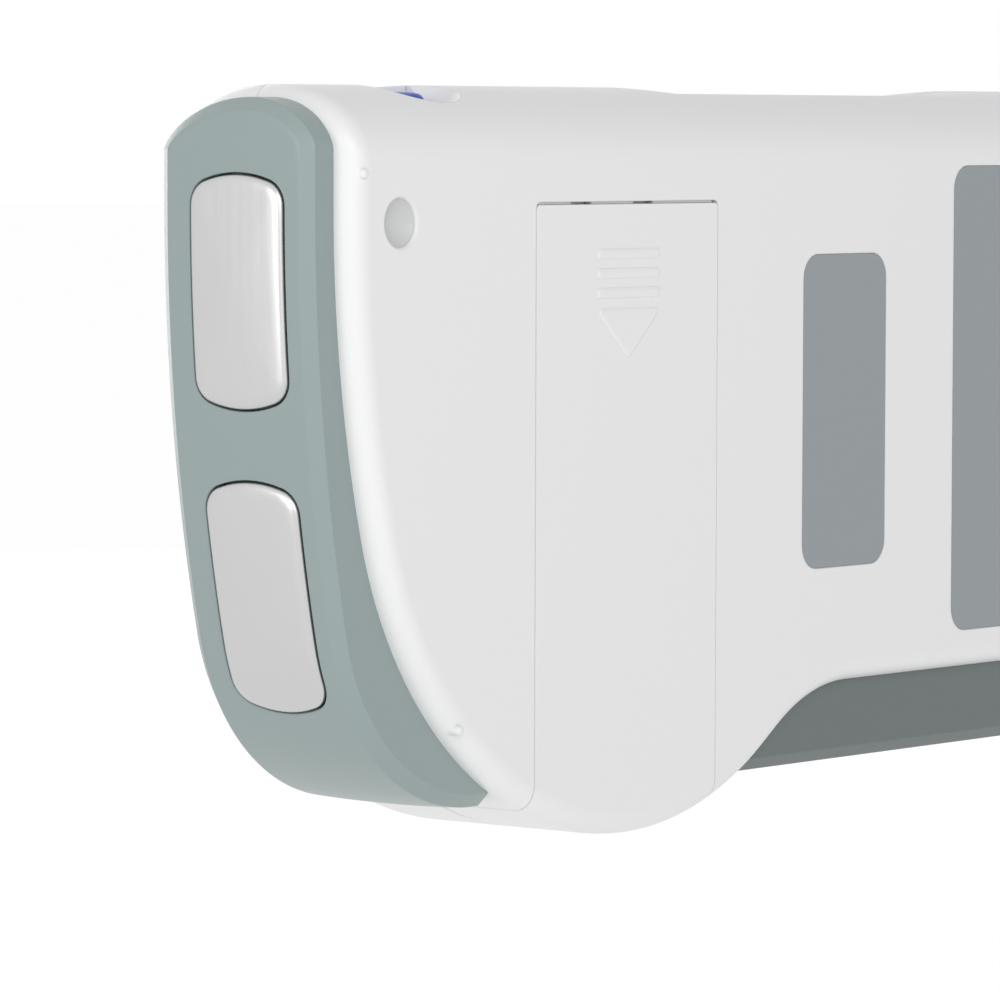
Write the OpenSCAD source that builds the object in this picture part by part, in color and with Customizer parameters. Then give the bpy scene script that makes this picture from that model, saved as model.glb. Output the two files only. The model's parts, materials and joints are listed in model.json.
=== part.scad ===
// Hand-held ECG home monitor, standing on its long edge.
// +X points to the two-electrode end, +Y to the back and +Z to the top edge.

/* [Body] */
// Length over the two end bumpers
body_length = 121; // [118:0.5:126]
// Height from the roof of the battery bay to the top edge
head_room = 6.7; // [6:0.1:8]
// Back plane to front plane, without the keys and the raised marks
body_depth = 23.3; // [22.9:0.1:26]
// Wall of the two white shells
wall = 1.8; // [1.4:0.1:2]
// Depth of the parting plane below the back plane
seam_depth = 10; // [9.6:0.2:10.4]
// Rounding between the back plane and the sides
back_round = 2; // [1.8:0.1:2.4]
// Height of the arch that rounds the top edge towards the back
arch_height = 5.7; // [4.5:0.1:6.5]
// Depth of that arch, from the back plane to the crest
arch_depth = 9; // [8:0.2:10]
// Drop of the top edge from the crest to the front plane
front_drop = 9.4; // [8:0.2:11]
// How late the top edge curls over: 2 is a parabola, more keeps it level for longer
front_curl = 2.6; // [2:0.1:3]
// How far the shoulders draw in between the bumper and the front plane
shoulder_in = 7.5; // [6:0.5:9]
// Radius of the top corners
top_corner_r = 2; // [1.5:0.25:3]
// Radius of the lower corner at the one-electrode end
far_corner_r = 14; // [12:1:16]

/* [Belly] */
// Distance of the lowest point of the belly from the two-electrode end
belly_from_end = 39.2; // [38:0.2:40]
// How much smaller the belly's radius on that side is than its distance from the end wall
belly_lean = 2.2; // [1.6:0.1:3.4]
// Belly radius on the other side
belly_far_r = 31.8; // [30:0.2:34]
// Distance below the top edge at which the end wall starts to curve in
end_curve_drop = 9.2; // [8:0.2:10]
// Length of the straight stretch in the swoop from the belly up to the waist
swoop_line = 2.7; // [1.5:0.1:4]
// Radius where the swoop runs out into the waist
swoop_r = 19.2; // [17:0.2:21]
// Height of the lower edge of the white back beyond the swoop
waist_z = 10.35; // [9.8:0.05:11]

/* [Bumper] */
// Width of the bumper's flange at the ends
flange = 3; // [2.6:0.1:3.6]
// Height of the bumper's lower edge
bumper_z = 3.35; // [3:0.05:4]
// Distance from the front side of the bumper to the back plane
bumper_front = 17.3; // [16.6:0.1:18.2]
// Depth of the chamfer round the bumper's outer face
bumper_chamfer = 0.8; // [0.5:0.1:1]
// Width of that chamfer across the bumper
bumper_chamfer_w = 1; // [0.6:0.1:1.2]
// Depth of the crest of the bumper's arch below the back plane
bumper_crest = 8.4; // [8:0.1:8.8]
// Rise of the arch over the bumper's sides
bumper_rise = 4; // [3.6:0.1:4.4]
// How peaked the arch is towards the front: 1 is an ellipse
bumper_peak = 1.6; // [1.4:0.1:1.8]
// How peaked it is towards the back
bumper_back_peak = 1.2; // [1:0.1:1.4]
// Drop of the bumper's top below the crest of the shells
bumper_drop = 1; // [0.6:0.1:1.4]
// Thickness of the bumper moulding
bumper_wall = 1.6; // [1.2:0.1:2]
// Large radius of the bumper's outer face
bumper_face_r = 150; // [120:5:200]
// Radius of the bumper's lower corner
bumper_corner_r = 17.8; // [16:0.2:19]
// Length of each bumper end piece along the lower edge
bumper_reach = 22; // [20:0.5:23]
// Gap between the bumper and the shells
bumper_gap = 0.05; // [0.03:0.01:0.1]

/* [Electrodes] */
// Width of an electrode plate
electrode_w = 9.2; // [8:0.2:10]
// Distance between the two electrode plates of one end
electrode_space = 5.6; // [5:0.2:8]
// Corner radius of an electrode plate
electrode_r = 2; // [1.4:0.1:2.4]
// Radius of the bowed short edges of an electrode plate
electrode_bow_r = 10.5; // [8:0.5:14]
// Sheet thickness of an electrode plate
electrode_t = 1; // [0.8:0.1:1.2]
// How far the plates stand proud of the bumper
electrode_proud = 0.3; // [0.2:0.05:0.5]
// Gap round an electrode plate
electrode_gap = 0.25; // [0.2:0.05:0.4]
// Depth of the electrodes' centre line below the back plane
electrode_depth = 9.2; // [8.8:0.1:9.8]
// Distance from the top edge to the centre of the upper electrode
upper_electrode_drop = 15.9; // [15.4:0.1:16.4]
// Height of the centre of the lower electrode
lower_electrode_z = 20.7; // [20.5:0.1:21.5]
// Distance from the top edge to the centre of the electrode at the other end
far_electrode_drop = 26.2; // [22:0.2:28]
// Radius of the stud behind each electrode
stud_r = 1.2; // [0.9:0.1:1.4]

/* [Battery door] */
// Distance of the door's near seam from the two-electrode end
door_from_end = 25.4; // [25:0.1:26.4]
// Width of the door opening
door_w = 24; // [23.8:0.1:24.6]
// Distance from the top edge to the door's upper seam
door_drop = 9.14; // [8.8:0.02:9.8]
// Thickness of the door
door_t = 1.5; // [1.2:0.1:1.7]
// Seam round the door
door_gap = 0.15; // [0.1:0.05:0.2]
// How far the ribs, the arrow and the pips stand proud
mark_proud = 0.3; // [0.2:0.05:0.4]
// Number of grip ribs above the arrow
rib_count = 3; // [2:1:4]
// Length of a grip rib, and width of the arrow
rib_w = 8.2; // [6:0.2:10]
// Height of a grip rib
rib_h = 0.75; // [0.5:0.05:1]
// Distance from rib to rib
rib_pitch = 1.55; // [1.3:0.05:1.7]
// Distance from the door's upper seam to the top rib's centre
rib_drop = 4.2; // [3.6:0.1:5]

/* [Cells] */
// Diameter of a cell
cell_d = 10.5; // [10.3:0.1:10.5]
// Length of a cell over its nub
cell_len = 44.5; // [44.3:0.1:44.5]
// Gap between the two cells
cell_gap = 0.3; // [0.2:0.05:0.4]
// Height of the bay's floor plate
bay_floor_z = 4.7; // [4.6:0.1:4.8]
// Wall of the battery bay
bay_wall = 1; // [0.8:0.1:1.1]
// Length of a contact spring under load
spring_len = 1.7; // [1.5:0.1:1.9]
// Sheet thickness of the contact plates
plate_t = 0.3; // [0.2:0.05:0.4]

/* [Display] */
// Distance of the display window from the two-electrode end
window_from_end = 44.5; // [43.5:0.5:50]
// Distance of the display window from the other end
window_from_far_end = 20.5; // [19.5:0.5:26]
// Distance of the display window from the front plane's upper and lower edges
window_margin = 2.95; // [2.8:0.05:4]
// Corner radius of the window
window_r = 2.5; // [1.5:0.25:4]
// Thickness of the window
window_t = 1.1; // [0.8:0.1:1.2]
// Thickness of the display panel
panel_t = 2.6; // [2:0.1:3]
// Gap round the window
window_gap = 0.1; // [0.05:0.05:0.2]

/* [Keys] */
// Width of a front key
key_w = 8.5; // [7.5:0.25:8.5]
// Height of a front key
key_h = 6.5; // [5.5:0.25:6.5]
// Distance between the two columns of keys
key_pitch_x = 11.5; // [11:0.25:11.5]
// Distance between the two rows of keys
key_pitch_z = 12.5; // [11:0.5:12.5]
// Distance of the middle of the keys from the two-electrode end
keys_from_end = 27.3; // [27.3:0.1:28]
// How far the keys stand proud of the front plane
key_proud = 0.6; // [0.4:0.05:0.8]
// Travel of a front key
key_travel = 0.6; // [0.4:0.05:0.7]
// Clearance round a front key
key_gap = 0.15; // [0.1:0.05:0.25]
// Thickness of the silicone mat under the keys
mat_t = 0.8; // [0.6:0.1:1]

/* [Measure button] */
// Distance of the button from the two-electrode end
button_from_end = 17.3; // [16.8:0.1:17.8]
// Depth of the button's centre below the back plane
button_depth = 9.5; // [9.2:0.1:9.8]
// Length of the button along the top edge
button_l = 8; // [7.4:0.2:8.6]
// Width of the button
button_w = 5.8; // [5.4:0.1:6]
// Height of the button's top below the crest
button_drop = 0.5; // [0.3:0.1:0.8]
// Travel of the button
button_travel = 0.7; // [0.5:0.05:0.8]
// Clearance round the button
button_gap = 0.12; // [0.08:0.02:0.2]
// Radius of the scoop at the crest
scoop_r = 4.6; // [4.4:0.1:5]
// Depth of the scoop below the crest
scoop_depth = 2.8; // [2.6:0.1:3]
// Depth of the scoop's centre below the back plane
scoop_from_back = 6.75; // [6.4:0.05:7]
// Distance of the scoop's centre from the two-electrode end
scoop_from_end = 17.9; // [17.4:0.1:18.4]

/* [Top recess] */
// Distance of the recess's middle from the two-electrode end
recess_from_end = 71; // [70:0.5:72]
// Length of the recess's floor
recess_len = 40.5; // [38:0.5:42]
// Length of the ramp at each end of the recess
recess_ramp = 4.5; // [3:0.5:5]
// Depth of the recess
recess_depth = 0.5; // [0.3:0.05:0.6]

/* [Board and socket] */
// Thickness of the circuit board
board_t = 1.2; // [1:0.1:1.6]
// Depth of the board's back face below the back plane
board_depth = 14.6; // [14.4:0.1:15]
// Distance from each end of the body to the circuit board
board_inset = 12.5; // [12.2:0.1:14]
// Distance from the top edge to the circuit board
board_drop = 8.6; // [8.2:0.2:10]
// Width of the lead socket's mouth
socket_w = 7.8; // [7:0.1:8]
// Thickness of the lead socket's mouth
socket_h = 3; // [2.6:0.1:3.2]

/* [Fasteners] */
// Radius of the hole over a housing screw
plug_r = 1.9; // [1.7:0.1:2.1]
// Distance of the upper housing screws from each end
screw_from_end = 8.7; // [8.4:0.1:9]
// Distance of the upper housing screws from the top edge
screw_drop = 10.6; // [10:0.1:11]
// Thread radius of the housing screws
screw_r = 0.85; // [0.7:0.05:1]
// Thread radius of the board screws
board_screw_r = 0.7; // [0.6:0.05:0.8]

/* [Labels] */
// Thickness of the label foil
label_t = 0.1; // [0.08:0.02:0.14]
// Width of the narrow label
serial_w = 11.9; // [10:0.1:13]
// Height of the narrow label
serial_h = 26.2; // [24:0.2:28]
// Distance of the narrow label from the top edge
serial_drop = 13.8; // [13:0.2:15]
// Distance of the narrow label's middle from the two-electrode end
serial_from_end = 67.4; // [66:0.2:69]
// Distance of the wide label from the two-electrode end
rating_from_end = 83.5; // [82:0.5:86]
// Distance of the wide label from the other end
rating_from_far_end = 20; // [19.5:0.5:24]
// Distance of the wide label from the top edge
rating_drop = 6.5; // [6:0.1:9]
// Distance of the wide label from the white back's lower edge
rating_lift = 3.3; // [3:0.1:6]
// Corner radius of the labels
label_r = 2; // [1:0.25:3]

/* [Hidden] */
$fn = 48;

// Fine overlap for cuts, and the reach of cutting blocks
eps = 0.02;
far = 200;

// Heights of the battery bay, which set the height of the body
cell_z0 = bay_floor_z + bay_wall + plate_t + spring_len;
nub_len = 1;
bay_top_z = cell_z0 + cell_len + plate_t;
body_height = bay_top_z + bay_wall + head_room;

// Main planes, in the object's own frame
half_len = body_length / 2;
back_y = body_depth / 2 + (key_proud - mark_proud) / 2;
front_y = back_y - body_depth;
seam_y = back_y - seam_depth;
crest_y = back_y - arch_depth;
bumper_back_y = back_y - back_round;
bumper_front_y = back_y - bumper_front;
bumper_crest_y = back_y - bumper_crest;
board_back_y = back_y - board_depth;
board_front_y = board_back_y - board_t;
inner_back_y = back_y - wall;
inner_front_y = front_y + wall;

// Side outline of the white body: the end wall is an arc that meets the belly's arc in a tangent
end_x = half_len - flange;
end_curve_z = body_height - end_curve_drop;
belly_x = half_len - belly_from_end;
belly_out = end_x - belly_x;
belly_near_r = belly_out - belly_lean;
curve_up = end_curve_z - belly_near_r;
end_arc_r = (pow(belly_out, 2) + pow(curve_up, 2) - pow(belly_near_r, 2))
    / (2 * (belly_out - belly_near_r));
end_arc_x = end_x - end_arc_r;
join_angle = atan2(belly_near_r - end_curve_z, belly_x - end_arc_x);
swoop_sum = belly_far_r + swoop_r;
swoop_angle = acos((swoop_sum - waist_z) / norm([swoop_sum, swoop_line]))
    - atan2(swoop_line, swoop_sum);
waist_x = belly_x - swoop_sum * sin(swoop_angle) - swoop_line * cos(swoop_angle);

// The other end wall is the same arc the other way round, tangent to the lower corner's arc
far_reach = end_arc_r - far_corner_r;
far_lift = end_curve_z - waist_z - far_corner_r;
far_angle = asin(far_lift / far_reach);
far_corner_x = -end_arc_x - far_reach * cos(far_angle);

// Side outline of the bumper: a flat arc that meets the corner's arc in a tangent
corner_lift = end_curve_z - bumper_z - bumper_corner_r;
corner_angle = asin(corner_lift / (bumper_face_r - bumper_corner_r));
corner_x = half_len - bumper_face_r + (bumper_face_r - bumper_corner_r) * cos(corner_angle);

// Battery bay
door_x = half_len - door_from_end - door_w / 2;
cell_r = cell_d / 2;
cell_step = cell_d + cell_gap;
cell_y = back_y - door_t - 0.5 - cell_r;
bay_front_y = cell_y - cell_r - 0.2;
bay_half = door_w / 2;
bay_x0 = door_x - bay_half - bay_wall;
bay_x1 = door_x + bay_half + bay_wall;
door_top = body_height - door_drop;
rib_top_z = door_top - rib_drop;

// Electrodes
upper_electrode_z = body_height - upper_electrode_drop;
far_electrode_z = body_height - far_electrode_drop;
electrode_h = upper_electrode_z - lower_electrode_z - electrode_space;
window_reach = 14;

// Measure button
button_x = half_len - button_from_end;
button_y = back_y - button_depth;
button_top = body_height - button_drop;
scoop_floor = body_height - scoop_depth;
scoop_sphere = (pow(scoop_r, 2) + pow(scoop_depth, 2)) / (2 * scoop_depth);
scoop_y = back_y - scoop_from_back;
scoop_x = half_len - scoop_from_end;
cup_wall = 1.4;
button_rim = 1;
button_flange_t = 0.8;
button_flange_top = scoop_floor - cup_wall - 0.1;

// Housing screws: [x, z] of each, and the steps along their axis
screw_z = body_height - screw_drop;
low_screw_from_end = 16.3;
low_screw_lift = 7.4;
screw_places = [
    [half_len - screw_from_end, screw_z],
    [-half_len + screw_from_end, screw_z],
    [-half_len + low_screw_from_end, waist_z + low_screw_lift]
];
plug_t = 1.3;
head_t = 1.3;
post_r = 2.8;
head_y = back_y - plug_t - 0.1;
seat_y = head_y - head_t;
post_top_y = seat_y - 1.6;
screw_len = 9;

// Board screws: [x, z] of each
board_x = half_len - board_inset;
board_z0 = waist_z + wall + 1;
board_z1 = body_height - board_drop;
far_screw_in = 2.6;
far_screw_from_contact = 8;
far_screw_drop = 7.6;
low_screw_in = 5.4;
low_screw_up = 4.6;
near_screw_in = 1.8;
near_screw_drop = 11.6;
board_head_r = 1.5;
board_head_t = 1;
board_thread = 3;
board_screw_places = [
    [-board_x + far_screw_in, far_electrode_z - far_screw_from_contact],
    [-board_x + far_screw_in, board_z1 - far_screw_drop],
    [board_x - low_screw_in, board_z0 + low_screw_up],
    [board_x - near_screw_in, board_z1 - near_screw_drop]
];
board_post_r = 2;
board_corner = 7;
board_notch_x = 8;
board_notch_z = 9;

// Front plane between its shoulders, and what lies in it
front_z0 = waist_z + shoulder_in;
front_z1 = body_height - front_drop;
window_w = body_length - window_from_end - window_from_far_end;
window_h = front_z1 - front_z0 - 2 * window_margin;
window_x = (window_from_far_end - window_from_end) / 2;
window_z = (front_z0 + front_z1) / 2;
keys_x = half_len - keys_from_end;
keys_z = window_z;

// Display stack, from the front plane inwards
window_y0 = front_y + 0.15;
panel_y0 = window_y0 + window_t + 0.5;
holder_rim = 2;
panel_margin = 3;
panel_lip = 2;
panel_w = window_w - 2 * panel_margin;
panel_h = window_h - 2 * panel_margin;

// Keys: [column, row] of each
key_root_y = front_y + wall + 1;
mat_y = key_root_y + key_travel + 0.3;

// Lead socket, standing on the board's back face
socket_x = half_len - recess_from_end;
socket_y = board_back_y + socket_h / 2;
socket_top = body_height - recess_depth - 1.2;

// Labels: centre [x, z] of each
rating_w = body_length - rating_from_end - rating_from_far_end;
rating_h = body_height - rating_drop - waist_z - rating_lift;
serial_place = [half_len - serial_from_end, body_height - serial_drop - serial_h / 2];
rating_place = [half_len - rating_from_end - rating_w / 2, waist_z + rating_lift + rating_h / 2];

// Pips on the back, [x, z] of each: one at the end wall, one beside the belly's arc
pip_r = 0.45;
pip_root = 0.5;
pip_from_end = 4.3;
pip_drop = 6.8;
pip_inset = 0.69;
pip_angle = -45.85;
pips = [
    [half_len - pip_from_end, body_height - pip_drop],
    [belly_x + (belly_near_r - pip_inset) * cos(pip_angle),
        belly_near_r + (belly_near_r - pip_inset) * sin(pip_angle)]
];

// ---- 2-D helpers ------------------------------------------------------------------------------

// Points of an arc, both ends included
function arc(cx, cy, r, a0, a1, n) =
    [for (i = [0 : n]) let (a = a0 + (a1 - a0) * i / n) [cx + r * cos(a), cy + r * sin(a)]];

// Highest angle of an end wall's arc of radius `r` below a corner at the height `z`
function wall_end(r, z) = asin((min(end_curve_z, z) - 1.5 - end_curve_z) / r);

// Side outline [x, z] of the white body with its sides moved in by `inset`, its top edge at `top`
function body_outline(inset, top) =
    let (
        corner = max(0.4, top_corner_r - inset),
        end_r = end_arc_r - inset,
        last = wall_end(end_r, top - corner),
        side = end_x - inset - corner
    )
    concat(
        arc(-side, top - corner, corner, 90, 180, 4),
        arc(-end_arc_x, end_curve_z, end_r, 180 - last, 180 + far_angle * 0.8, 3),
        arc(far_corner_x, waist_z + far_corner_r, far_corner_r - inset, 180 + far_angle, 270, 6),
        arc(waist_x, waist_z - swoop_r, swoop_r + inset, 90, 90 - swoop_angle, 5),
        arc(belly_x, belly_far_r, belly_far_r - inset, 270 - swoop_angle, 270, 6),
        arc(belly_x, belly_near_r, belly_near_r - inset, 276, 360 + join_angle, 10),
        arc(end_arc_x, end_curve_z, end_r, join_angle * 0.8, last, 3),
        arc(side, top - corner, corner, 0, 90, 4)
    );

// Height of the top edge at the depth y
function top_at(y) = y > crest_y
    ? body_height - arch_height * (1 - sqrt(1 - pow(min(1, (y - crest_y) / arch_depth), 2)))
    : body_height - front_drop * pow((crest_y - y) / (crest_y - front_y), front_curl);

// Rings [depth, inset, top] that the body is skinned over, moved in by `skin`
function body_steps(skin) =
    let (
        round_r = max(0.2, back_round - skin),
        round_y = back_y - skin - round_r
    )
    concat(
        [for (a = [90, 60, 30])
            let (y = round_y + round_r * sin(a))
            [y, skin + round_r * (1 - cos(a)), top_at(y) - skin]],
        [for (s = [0 : 0.2 : 1])
            let (y = round_y + (crest_y - round_y) * s)
            [y, skin, top_at(y) - skin]],
        [for (s = [0.5, 1])
            let (y = crest_y + (bumper_front_y - crest_y) * s)
            [y, skin, top_at(y) - skin]],
        [for (s = [0.25 : 0.25 : 1])
            let (y = bumper_front_y + (front_y - bumper_front_y) * s)
            [y + skin * s, skin + shoulder_in * s * s, top_at(y) - skin]]
    );

// Skin over a list of rings with equal numbers of points
module skin_rings(rings) {
    n = len(rings[0]);
    m = len(rings);
    sides = [
        for (j = [0 : m - 2], i = [0 : n - 1], k = [0, 1])
            let (a = j * n + i, b = j * n + (i + 1) % n)
            k == 0 ? [a, b + n, b] : [a, a + n, b + n]
    ];
    polyhedron(
        points = [for (r = rings, p = r) p],
        faces = concat(
            [[for (i = [0 : n - 1]) i]],
            sides,
            [[for (i = [n - 1 : -1 : 0]) (m - 1) * n + i]]
        )
    );
}

// The whole white body as one solid, moved in by `skin`
module body_solid(skin = 0) {
    skin_rings([
        for (step = body_steps(skin))
            [for (p = body_outline(step[1], step[2])) [p[0], step[0], p[1]]]
    ]);
}

// Side view [x, z] drawn between two depths
module between_y(y0, y1) {
    translate([0, y1, 0]) rotate([90, 0, 0]) linear_extrude(y1 - y0) children();
}

// End view [y, z] drawn between two stations
module between_x(x0, x1) {
    translate([x0, 0, 0]) rotate([90, 0, 90]) linear_extrude(x1 - x0) children();
}

// Cylinder along Y between two depths
module rod_y(x, z, r, y0, y1) {
    translate([x, y1, z]) rotate([90, 0, 0]) cylinder(r = r, h = y1 - y0);
}

// Cylinder along X between two stations
module rod_x(y, z, r, x0, x1) {
    translate([x0, y, z]) rotate([0, 90, 0]) cylinder(r = r, h = x1 - x0);
}

// Block from its low corner to its high corner
module block(lo, hi) {
    translate(lo) cube(hi - lo);
}

// Rectangle round the origin with true round corners
module round_rect(w, h, r) {
    square([w - 2 * r, h], center = true);
    square([w, h - 2 * r], center = true);
    for (sx = [-1, 1], sy = [-1, 1])
        translate([sx * (w / 2 - r), sy * (h / 2 - r)]) circle(r);
}

// ---- Shells -----------------------------------------------------------------------------------

// The scoop round the measure button
module scoop_ball(extra = 0) {
    translate([scoop_x, scoop_y, scoop_floor + scoop_sphere]) sphere(r = scoop_sphere + extra);
}

// The shallow recess in the top edge, as a wedge-ended bar
module top_recess() {
    x = half_len - recess_from_end;
    z = body_height - recess_depth;
    between_y(front_y - eps, back_y + eps)
        polygon([
            [x - recess_len / 2, z],
            [x + recess_len / 2, z],
            [x + recess_len / 2 + recess_ramp, body_height + eps],
            [x - recess_len / 2 - recess_ramp, body_height + eps]
        ]);
}

// Cuts that both shells share
module shared_cuts() {
    scoop_ball();
    top_recess();
    translate([button_x, button_y, scoop_floor - 3]) linear_extrude(6) button_plan(button_gap);
    for (z = [upper_electrode_z, lower_electrode_z])
        rod_x(back_y - electrode_depth, z, stud_r + 0.2, end_x - window_reach, end_x + 1);
    rod_x(back_y - electrode_depth, far_electrode_z, stud_r + 0.2, -end_x - 1, -end_x + 4);
}

// Outline [x, y] of the measure button, grown by `grow`
module button_plan(grow) {
    round_rect(button_l + 2 * grow, button_w + 2 * grow, button_w / 2 - 0.1 + grow);
}

// Wall under the scoop
module scoop_cup() {
    scoop_ball(cup_wall);
}

module door_opening() {
    block(
        [door_x - door_w / 2, seam_y - eps, -1],
        [door_x + door_w / 2, back_y + 1, door_top]
    );
}

// Wall of the front housing and a little more, which the bay keeps clear of
module front_skin_zone() {
    difference() {
        block([-far, -far, -far], [far, seam_y - eps, far]);
        body_solid(wall + 0.1);
    }
}

// Trough that holds the two cells
module battery_bay() {
    difference() {
        block(
            [bay_x0, bay_front_y - bay_wall, bay_floor_z],
            [bay_x1, inner_back_y + eps, bay_top_z + bay_wall]
        );
        block(
            [door_x - bay_half, bay_front_y, bay_floor_z + bay_wall],
            [door_x + bay_half, back_y, bay_top_z]
        );
        block(
            [door_x - bay_half, back_y - door_t - 0.3, bay_floor_z - 1],
            [door_x + bay_half, back_y, door_top]
        );
    }
}

module back_cover() {
    color("whitesmoke") difference() {
        union() {
            difference() {
                body_solid();
                body_solid(wall);
                block([-far, -far, -far], [far, seam_y, far]);
            }
            intersection() {
                body_solid(wall / 2);
                union() {
                    battery_bay();
                    for (p = screw_places)
                        rod_y(p[0], p[1], post_r + 0.4, seat_y - 1.5, inner_back_y + 0.1);
                    difference() {
                        scoop_cup();
                        block([-far, -far, -far], [far, seam_y, far]);
                    }
                }
            }
            for (p = pips)
                rod_y(p[0], p[1], pip_r, back_y - pip_root, back_y + mark_proud);
        }
        shared_cuts();
        front_skin_zone();
        door_opening_skin();
        for (p = screw_places) {
            rod_y(p[0], p[1], plug_r, seat_y, back_y + 1);
            rod_y(p[0], p[1], screw_r + 0.25, seat_y - 2, seat_y + 1);
        }
        for (x = latch_xs)
            block([x - latch_w / 2 - 0.2, back_y - wall - 0.2, door_top - 1],
                [x + latch_w / 2 + 0.2, back_y - 0.7, door_top + latch_reach + 0.2]);
        label_pocket(serial_place, serial_w, serial_h);
        label_pocket(rating_place, rating_w, rating_h);
    }
}

// The opening goes through the skin only, so that the bay's walls stay
module door_opening_skin() {
    intersection() {
        door_opening();
        difference() {
            block([-far, seam_y - eps, -1], [far, far, far]);
            block(
                [door_x - far, bay_front_y - bay_wall, bay_floor_z],
                [door_x + far, back_y - door_t - 0.3, far]
            );
        }
    }
}

module label_pocket(place, w, h) {
    translate([place[0], 0, place[1]])
        between_y(back_y - label_t, back_y + 1) round_rect(w + 0.1, h + 0.1, label_r + 0.05);
}

module front_housing() {
    color("white") difference() {
        union() {
            difference() {
                body_solid();
                body_solid(wall);
                block([-far, seam_y, -far], [far, far, far]);
            }
            intersection() {
                body_solid(wall / 2);
                union() {
                    for (p = screw_places)
                        rod_y(p[0], p[1], post_r, inner_front_y - 0.5, post_top_y);
                    for (p = board_screw_places)
                        rod_y(p[0], p[1], board_post_r, inner_front_y - 0.5, board_front_y);
                    difference() {
                        scoop_cup();
                        block([-far, seam_y, -far], [far, far, far]);
                    }
                }
            }
        }
        shared_cuts();
        for (p = screw_places)
            rod_y(p[0], p[1], screw_r + 0.03, seat_y - screw_len - 1, post_top_y + 1);
        for (p = board_screw_places)
            rod_y(p[0], p[1], board_screw_r + 0.03, board_front_y - 3.4, board_front_y + 1);
        translate([window_x, 0, window_z]) {
            between_y(front_y - 1, window_y0 + window_t)
                round_rect(window_w, window_h, window_r);
            between_y(front_y - 1, inner_front_y + 3)
                round_rect(window_w - 4, window_h - 4, window_r);
        }
        for (c = [-1, 1], r = [-1, 1])
            translate([keys_x + c * key_pitch_x / 2, 0, keys_z + r * key_pitch_z / 2])
                between_y(front_y - 1, inner_front_y + 1)
                    round_rect(key_w + 2 * key_gap, key_h + 2 * key_gap, 2 + key_gap);
        block(
            [socket_x - socket_w / 2 - 0.4, socket_y - socket_h / 2 - 0.4, socket_top - 1],
            [socket_x + socket_w / 2 + 0.4, socket_y + socket_h / 2 + 0.4, body_height + 1]
        );
    }
}

// Latch tongues on the door's upper edge
latch_w = 3;
latch_reach = 1.4;
latch_xs = [door_x + 5.9, door_x - 2.2];

module battery_cover() {
    x0 = door_x - door_w / 2 + door_gap;
    x1 = door_x + door_w / 2 - door_gap;
    color("whitesmoke") {
        difference() {
            intersection() {
                body_solid();
                block([x0, seam_y + door_gap, -1], [x1, back_y + 1, door_top - door_gap]);
            }
            body_solid(door_t);
        }
        for (x = latch_xs)
            block([x - latch_w / 2, back_y - door_t - 0.2, door_top - 2],
                [x + latch_w / 2, back_y - 0.9, door_top + latch_reach]);
        for (i = [0 : rib_count - 1])
            translate([door_x, 0, rib_top_z - i * rib_pitch])
                between_y(back_y - 0.5, back_y + mark_proud) square([rib_w, rib_h], center = true);
        translate([door_x, 0, rib_top_z - rib_count * rib_pitch + rib_h / 2])
            between_y(back_y - 0.5, back_y + mark_proud)
                polygon([[-rib_w / 2, 0], [0, -rib_w / 2], [rib_w / 2, 0]]);
    }
}

// ---- Bumper -----------------------------------------------------------------------------------

// Side outline [x, z] of the bumper at the +X end, moved in by `inset`
module bumper_outline(inset) {
    polygon(concat(
        [[0, body_height], [0, bumper_z + inset]],
        arc(corner_x, bumper_z + bumper_corner_r, bumper_corner_r - inset,
            270, 360 - corner_angle, 12),
        arc(half_len - bumper_face_r, end_curve_z, bumper_face_r - inset,
            -corner_angle * 0.8, 0, 5),
        [[half_len - inset, body_height]]
    ));
}

// End view [y, z] of the bumper, moved in by `inset`: its arch is steeper towards the back
module bumper_section(inset) {
    back = bumper_back_y - inset;
    front = bumper_front_y + inset;
    base = body_height - bumper_drop - inset - bumper_rise;
    polygon(concat(
        [[front, -1], [back, -1]],
        [for (a = [0 : 9 : 180])
            let (reach = a < 90 ? back - bumper_crest_y : bumper_crest_y - front)
            let (peak = a < 90 ? bumper_back_peak : bumper_peak)
            [bumper_crest_y + reach * cos(a), base + bumper_rise * pow(sin(a), peak)]]
    ));
}

// Outer form of the bumper at the +X end: the chamfer is a second, narrower pair of views
module bumper_form(inset) {
    intersection() {
        between_y(-far, far) bumper_outline(inset);
        between_x(0, half_len + 1) bumper_section(inset);
    }
}

module bumper_chamfered() {
    union() {
        intersection() {
            between_y(-far, far) bumper_outline(0);
            between_x(0, half_len + 1) bumper_section(bumper_chamfer_w);
        }
        intersection() {
            between_y(-far, far) bumper_outline(bumper_chamfer);
            between_x(0, half_len + 1) bumper_section(0);
        }
        intersection() {
            between_y(-far, far) bumper_outline(bumper_chamfer / 2);
            between_x(0, half_len + 1) bumper_section(bumper_chamfer_w / 2);
        }
    }
}

// The white body between the bumper's two sides, grown by the bumper gap
module body_core() {
    between_y(bumper_front_y - 1, bumper_back_y + 1)
        polygon(body_outline(-bumper_gap, body_height));
}

// Bumper end piece at the +X end round the body given as its child, without electrode windows
module end_piece() {
    difference() {
        bumper_chamfered();
        children();
        difference() {
            bumper_form(bumper_wall);
            block([half_len - 6, -far, far_electrode_z - 2.6],
                [half_len - 2, far, far_electrode_z + 2.6]);
        }
        block([-far, -far, -far], [half_len - bumper_reach, far, far]);
    }
}

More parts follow.
